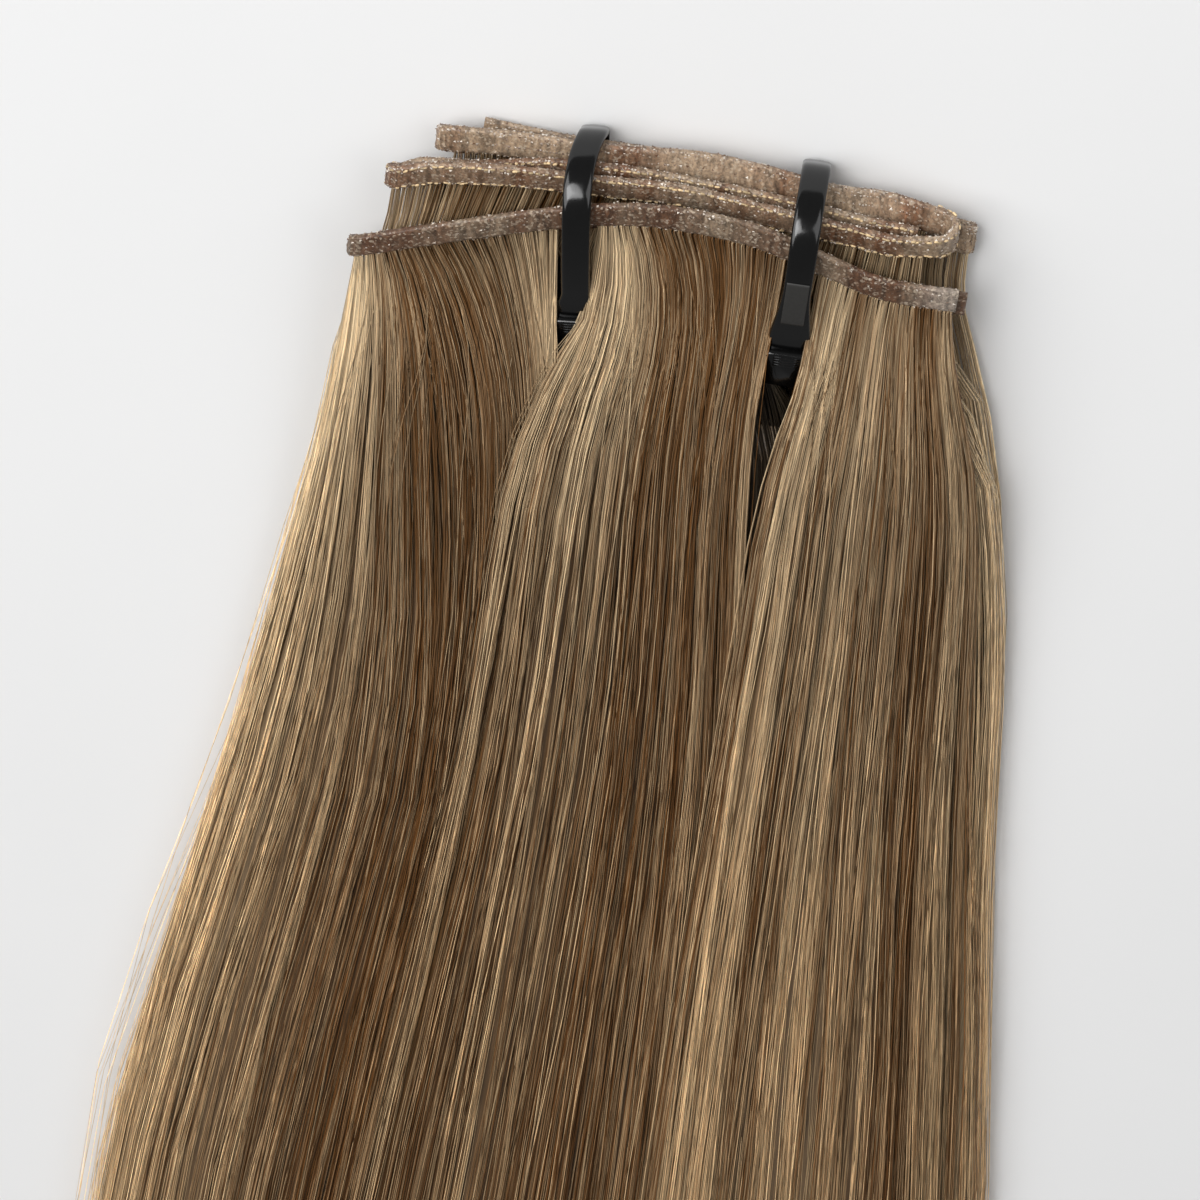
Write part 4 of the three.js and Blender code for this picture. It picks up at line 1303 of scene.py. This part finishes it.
def head_ribs(tie, turn):
    """Fine ridges of the catch in the head's upper face."""
    u, v = rounded_section(RIBS["width"], RIBS["height"], RIBS["sharpness"], RIBS["corners"])
    x = np.linspace(-RIBS["half_length"], RIBS["half_length"], RIBS["sections"])[:, None]
    z = HEAD["size"][2] / 2 + v
    parts = []
    for k in range(RIBS["count"]):
        y = RIBS["first_y"] + RIBS["pitch"] * k + u
        rings = np.stack(np.broadcast_arrays(x, y, z), axis=-1) @ turn.T + tie_head_place(tie)
        parts.append(loft(rings, False, colour_of("nylon"), GLOSSY))
    return parts


def strap_pad(tie):
    """The flat matt panel moulded on the strap above the head."""
    line, across, out = tie_line(tie)
    place = line[:, 1] - tie["y"]
    start, end = PAD["span"]
    chosen = np.where((place > start) & (place < end) & (line[:, 2] > PAD["above_z"]))[0]
    u, v = rounded_section(PAD["width"], PAD["height"], PAD["sharpness"], PAD["corners"])
    base = line[chosen] + out[chosen] * size_mm("strap_thickness") / 2
    rings = base[:, None] + across[chosen][:, None] * u[:, None] + out[chosen][:, None] * v[:, None]
    return loft(rings, False, linear(PAD["colour"]), MATT)


def add_camera(scene, stage, aim):
    """A camera tilted from straight down and rolled about its own axis."""
    tilt = stage.view_tilt
    roll = stage.view_roll
    level_right = Vector((1, 0, 0))
    level_up = Vector((0, np.cos(tilt), -np.sin(tilt)))
    forward = Vector((0, -np.sin(tilt), -np.cos(tilt)))
    right = level_right * np.cos(roll) + level_up * np.sin(roll)
    up = level_up * np.cos(roll) - level_right * np.sin(roll)
    camera = bpy.data.objects.new("camera", bpy.data.cameras.new("camera"))
    camera.data.lens = stage.lens
    camera.data.sensor_width = SENSOR_WIDTH
    camera.data.clip_start = NEAREST_VIEW
    turn = Matrix((right, up, -forward)).transposed().to_4x4()
    camera.matrix_world = Matrix.Translation(aim - forward * stage.view_distance) @ turn
    scene.collection.objects.link(camera)
    scene.camera = camera


def add_lights(scene, stage, aim):
    """Soft lights that face the aim, and an even white sky."""
    for row in LIGHTS:
        light = bpy.data.objects.new(row["name"], bpy.data.lights.new(row["name"], "AREA"))
        light.data.energy = row["power"] * stage.light_power
        light.data.size = row["size"]
        away = Vector(row["place"])
        turn = (-away).to_track_quat("-Z", "Y").to_matrix().to_4x4()
        light.matrix_world = Matrix.Translation(aim + away) @ turn
        scene.collection.objects.link(light)
    world = bpy.data.worlds.new("soft_studio")
    world.use_nodes = True
    sky = world.node_tree.nodes["Background"]
    sky.inputs["Color"].default_value = (1, 1, 1, 1)
    sky.inputs["Strength"].default_value = stage.sky
    scene.world = world


class WEFTHAIR_OT_stage(bpy.types.Operator):
    """Make the camera, the lights and the floor"""

    bl_idname = "weft_hair.make_stage"
    bl_label = "Make the stage"

    def execute(self, context):
        scene = context.scene
        aim = Vector(np.array(AIM) * MM + ORIGIN)
        add_camera(scene, scene.weft_stage, aim)
        add_lights(scene, scene.weft_stage, aim)
        scene.view_settings.view_transform = "Standard"
        bpy.ops.mesh.primitive_plane_add(size=FLOOR_SIZE, location=(0, 0, -FLOOR_DROP))
        floor = context.active_object
        floor.name = "floor"
        floor.data.materials.append(floor_material())
        return {"FINISHED"}


class WEFTHAIR_OT_bands(bpy.types.Operator):
    """Make the two folded weft bands with their stitches and lacquer chips"""

    bl_idname = "weft_hair.make_bands"
    bl_label = "Make the weft bands"

    def execute(self, context):
        rng = np.random.default_rng(BAND_SEED)
        materials = [coating_material(), thread_material(), flake_material()]
        for name, strip in STRIPS.items():
            band, rings = weft_band(strip, rng)
            parts = [band, coating_flakes(rings, FLAKES_PER_STATION[name] * len(rings), rng)]
            parts += [stitches(row, rng) for row in STITCH_ROWS if row["strip"] == name]
            piece = build_piece(name + "_coated", parts, materials)
            place_piece(piece, name)
        return {"FINISHED"}


class WEFTHAIR_OT_hair(bpy.types.Operator):
    """Make the strands of every hair curtain"""

    bl_idname = "weft_hair.make_hair"
    bl_label = "Make the hair"

    def execute(self, context):
        fibre = hair_material()
        for order, curtain in enumerate(CURTAINS):
            rng = np.random.default_rng(HAIR_SEED + order)
            strands = strand_paths(order, rng)
            tones = strand_tones(curtain, strands, rng)
            count, rows, _ = strands.points.shape
            radius = size_mm("strand_width") / 2 * rng.uniform(*STRAND_WIDTH_FACTORS, count)
            taper = mix(1, STRAND_TIP_WIDTH, np.linspace(0, 1, rows) ** 2)
            tubes = strand_tubes(strands.points, radius[:, None] * taper, tones)
            piece = build_piece(curtain["name"] + "_strands", [hair_core(order), tubes], [fibre])
            place_piece(piece, curtain["name"])
        return {"FINISHED"}


class WEFTHAIR_OT_ties(bpy.types.Operator):
    """Make the two cable ties"""

    bl_idname = "weft_hair.make_ties"
    bl_label = "Make the cable ties"

    def execute(self, context):
        glossy = nylon_material("moulded_black_nylon", roughness=0.14, coarseness=0.8)
        matt = nylon_material("matt_black_nylon", roughness=0.55, coarseness=0.3)
        for tie in TIES:
            head, turn = tie_head(tie)
            parts = [tie_strap(tie), head] + head_ribs(tie, turn)
            if tie["pad"]:
                parts.append(strap_pad(tie))
            piece = build_piece(tie["name"] + "_moulding", parts, [glossy, matt])
            place_piece(piece, tie["name"])
        return {"FINISHED"}


class WEFTHAIR_PT_panel(bpy.types.Panel):
    """Lists the settings and the steps"""

    bl_idname = "WEFTHAIR_PT_panel"
    bl_label = "Weft hair"
    bl_space_type = "VIEW_3D"
    bl_region_type = "UI"
    bl_category = "Weft hair"

    def draw(self, context):
        for group in (context.scene.weft_stage, context.scene.weft_hair):
            for name in group.__annotations__:
                self.layout.prop(group, name)
        for operator in OPERATORS:
            self.layout.operator(operator.bl_idname)


OPERATORS = (WEFTHAIR_OT_stage, WEFTHAIR_OT_bands, WEFTHAIR_OT_hair, WEFTHAIR_OT_ties)
CLASSES = (WeftHairSettings, StageSettings) + OPERATORS + (WEFTHAIR_PT_panel,)


def register():
    for cls in CLASSES:
        bpy.utils.register_class(cls)
    bpy.types.Scene.weft_hair = bpy.props.PointerProperty(type=WeftHairSettings)
    bpy.types.Scene.weft_stage = bpy.props.PointerProperty(type=StageSettings)


def unregister():
    del bpy.types.Scene.weft_stage
    del bpy.types.Scene.weft_hair
    for cls in reversed(CLASSES):
        bpy.utils.unregister_class(cls)


def main():
    register()
    bpy.ops.weft_hair.make_stage()
    bpy.ops.weft_hair.make_bands()
    bpy.ops.weft_hair.make_hair()
    bpy.ops.weft_hair.make_ties()


if __name__ == "__main__":
    main()
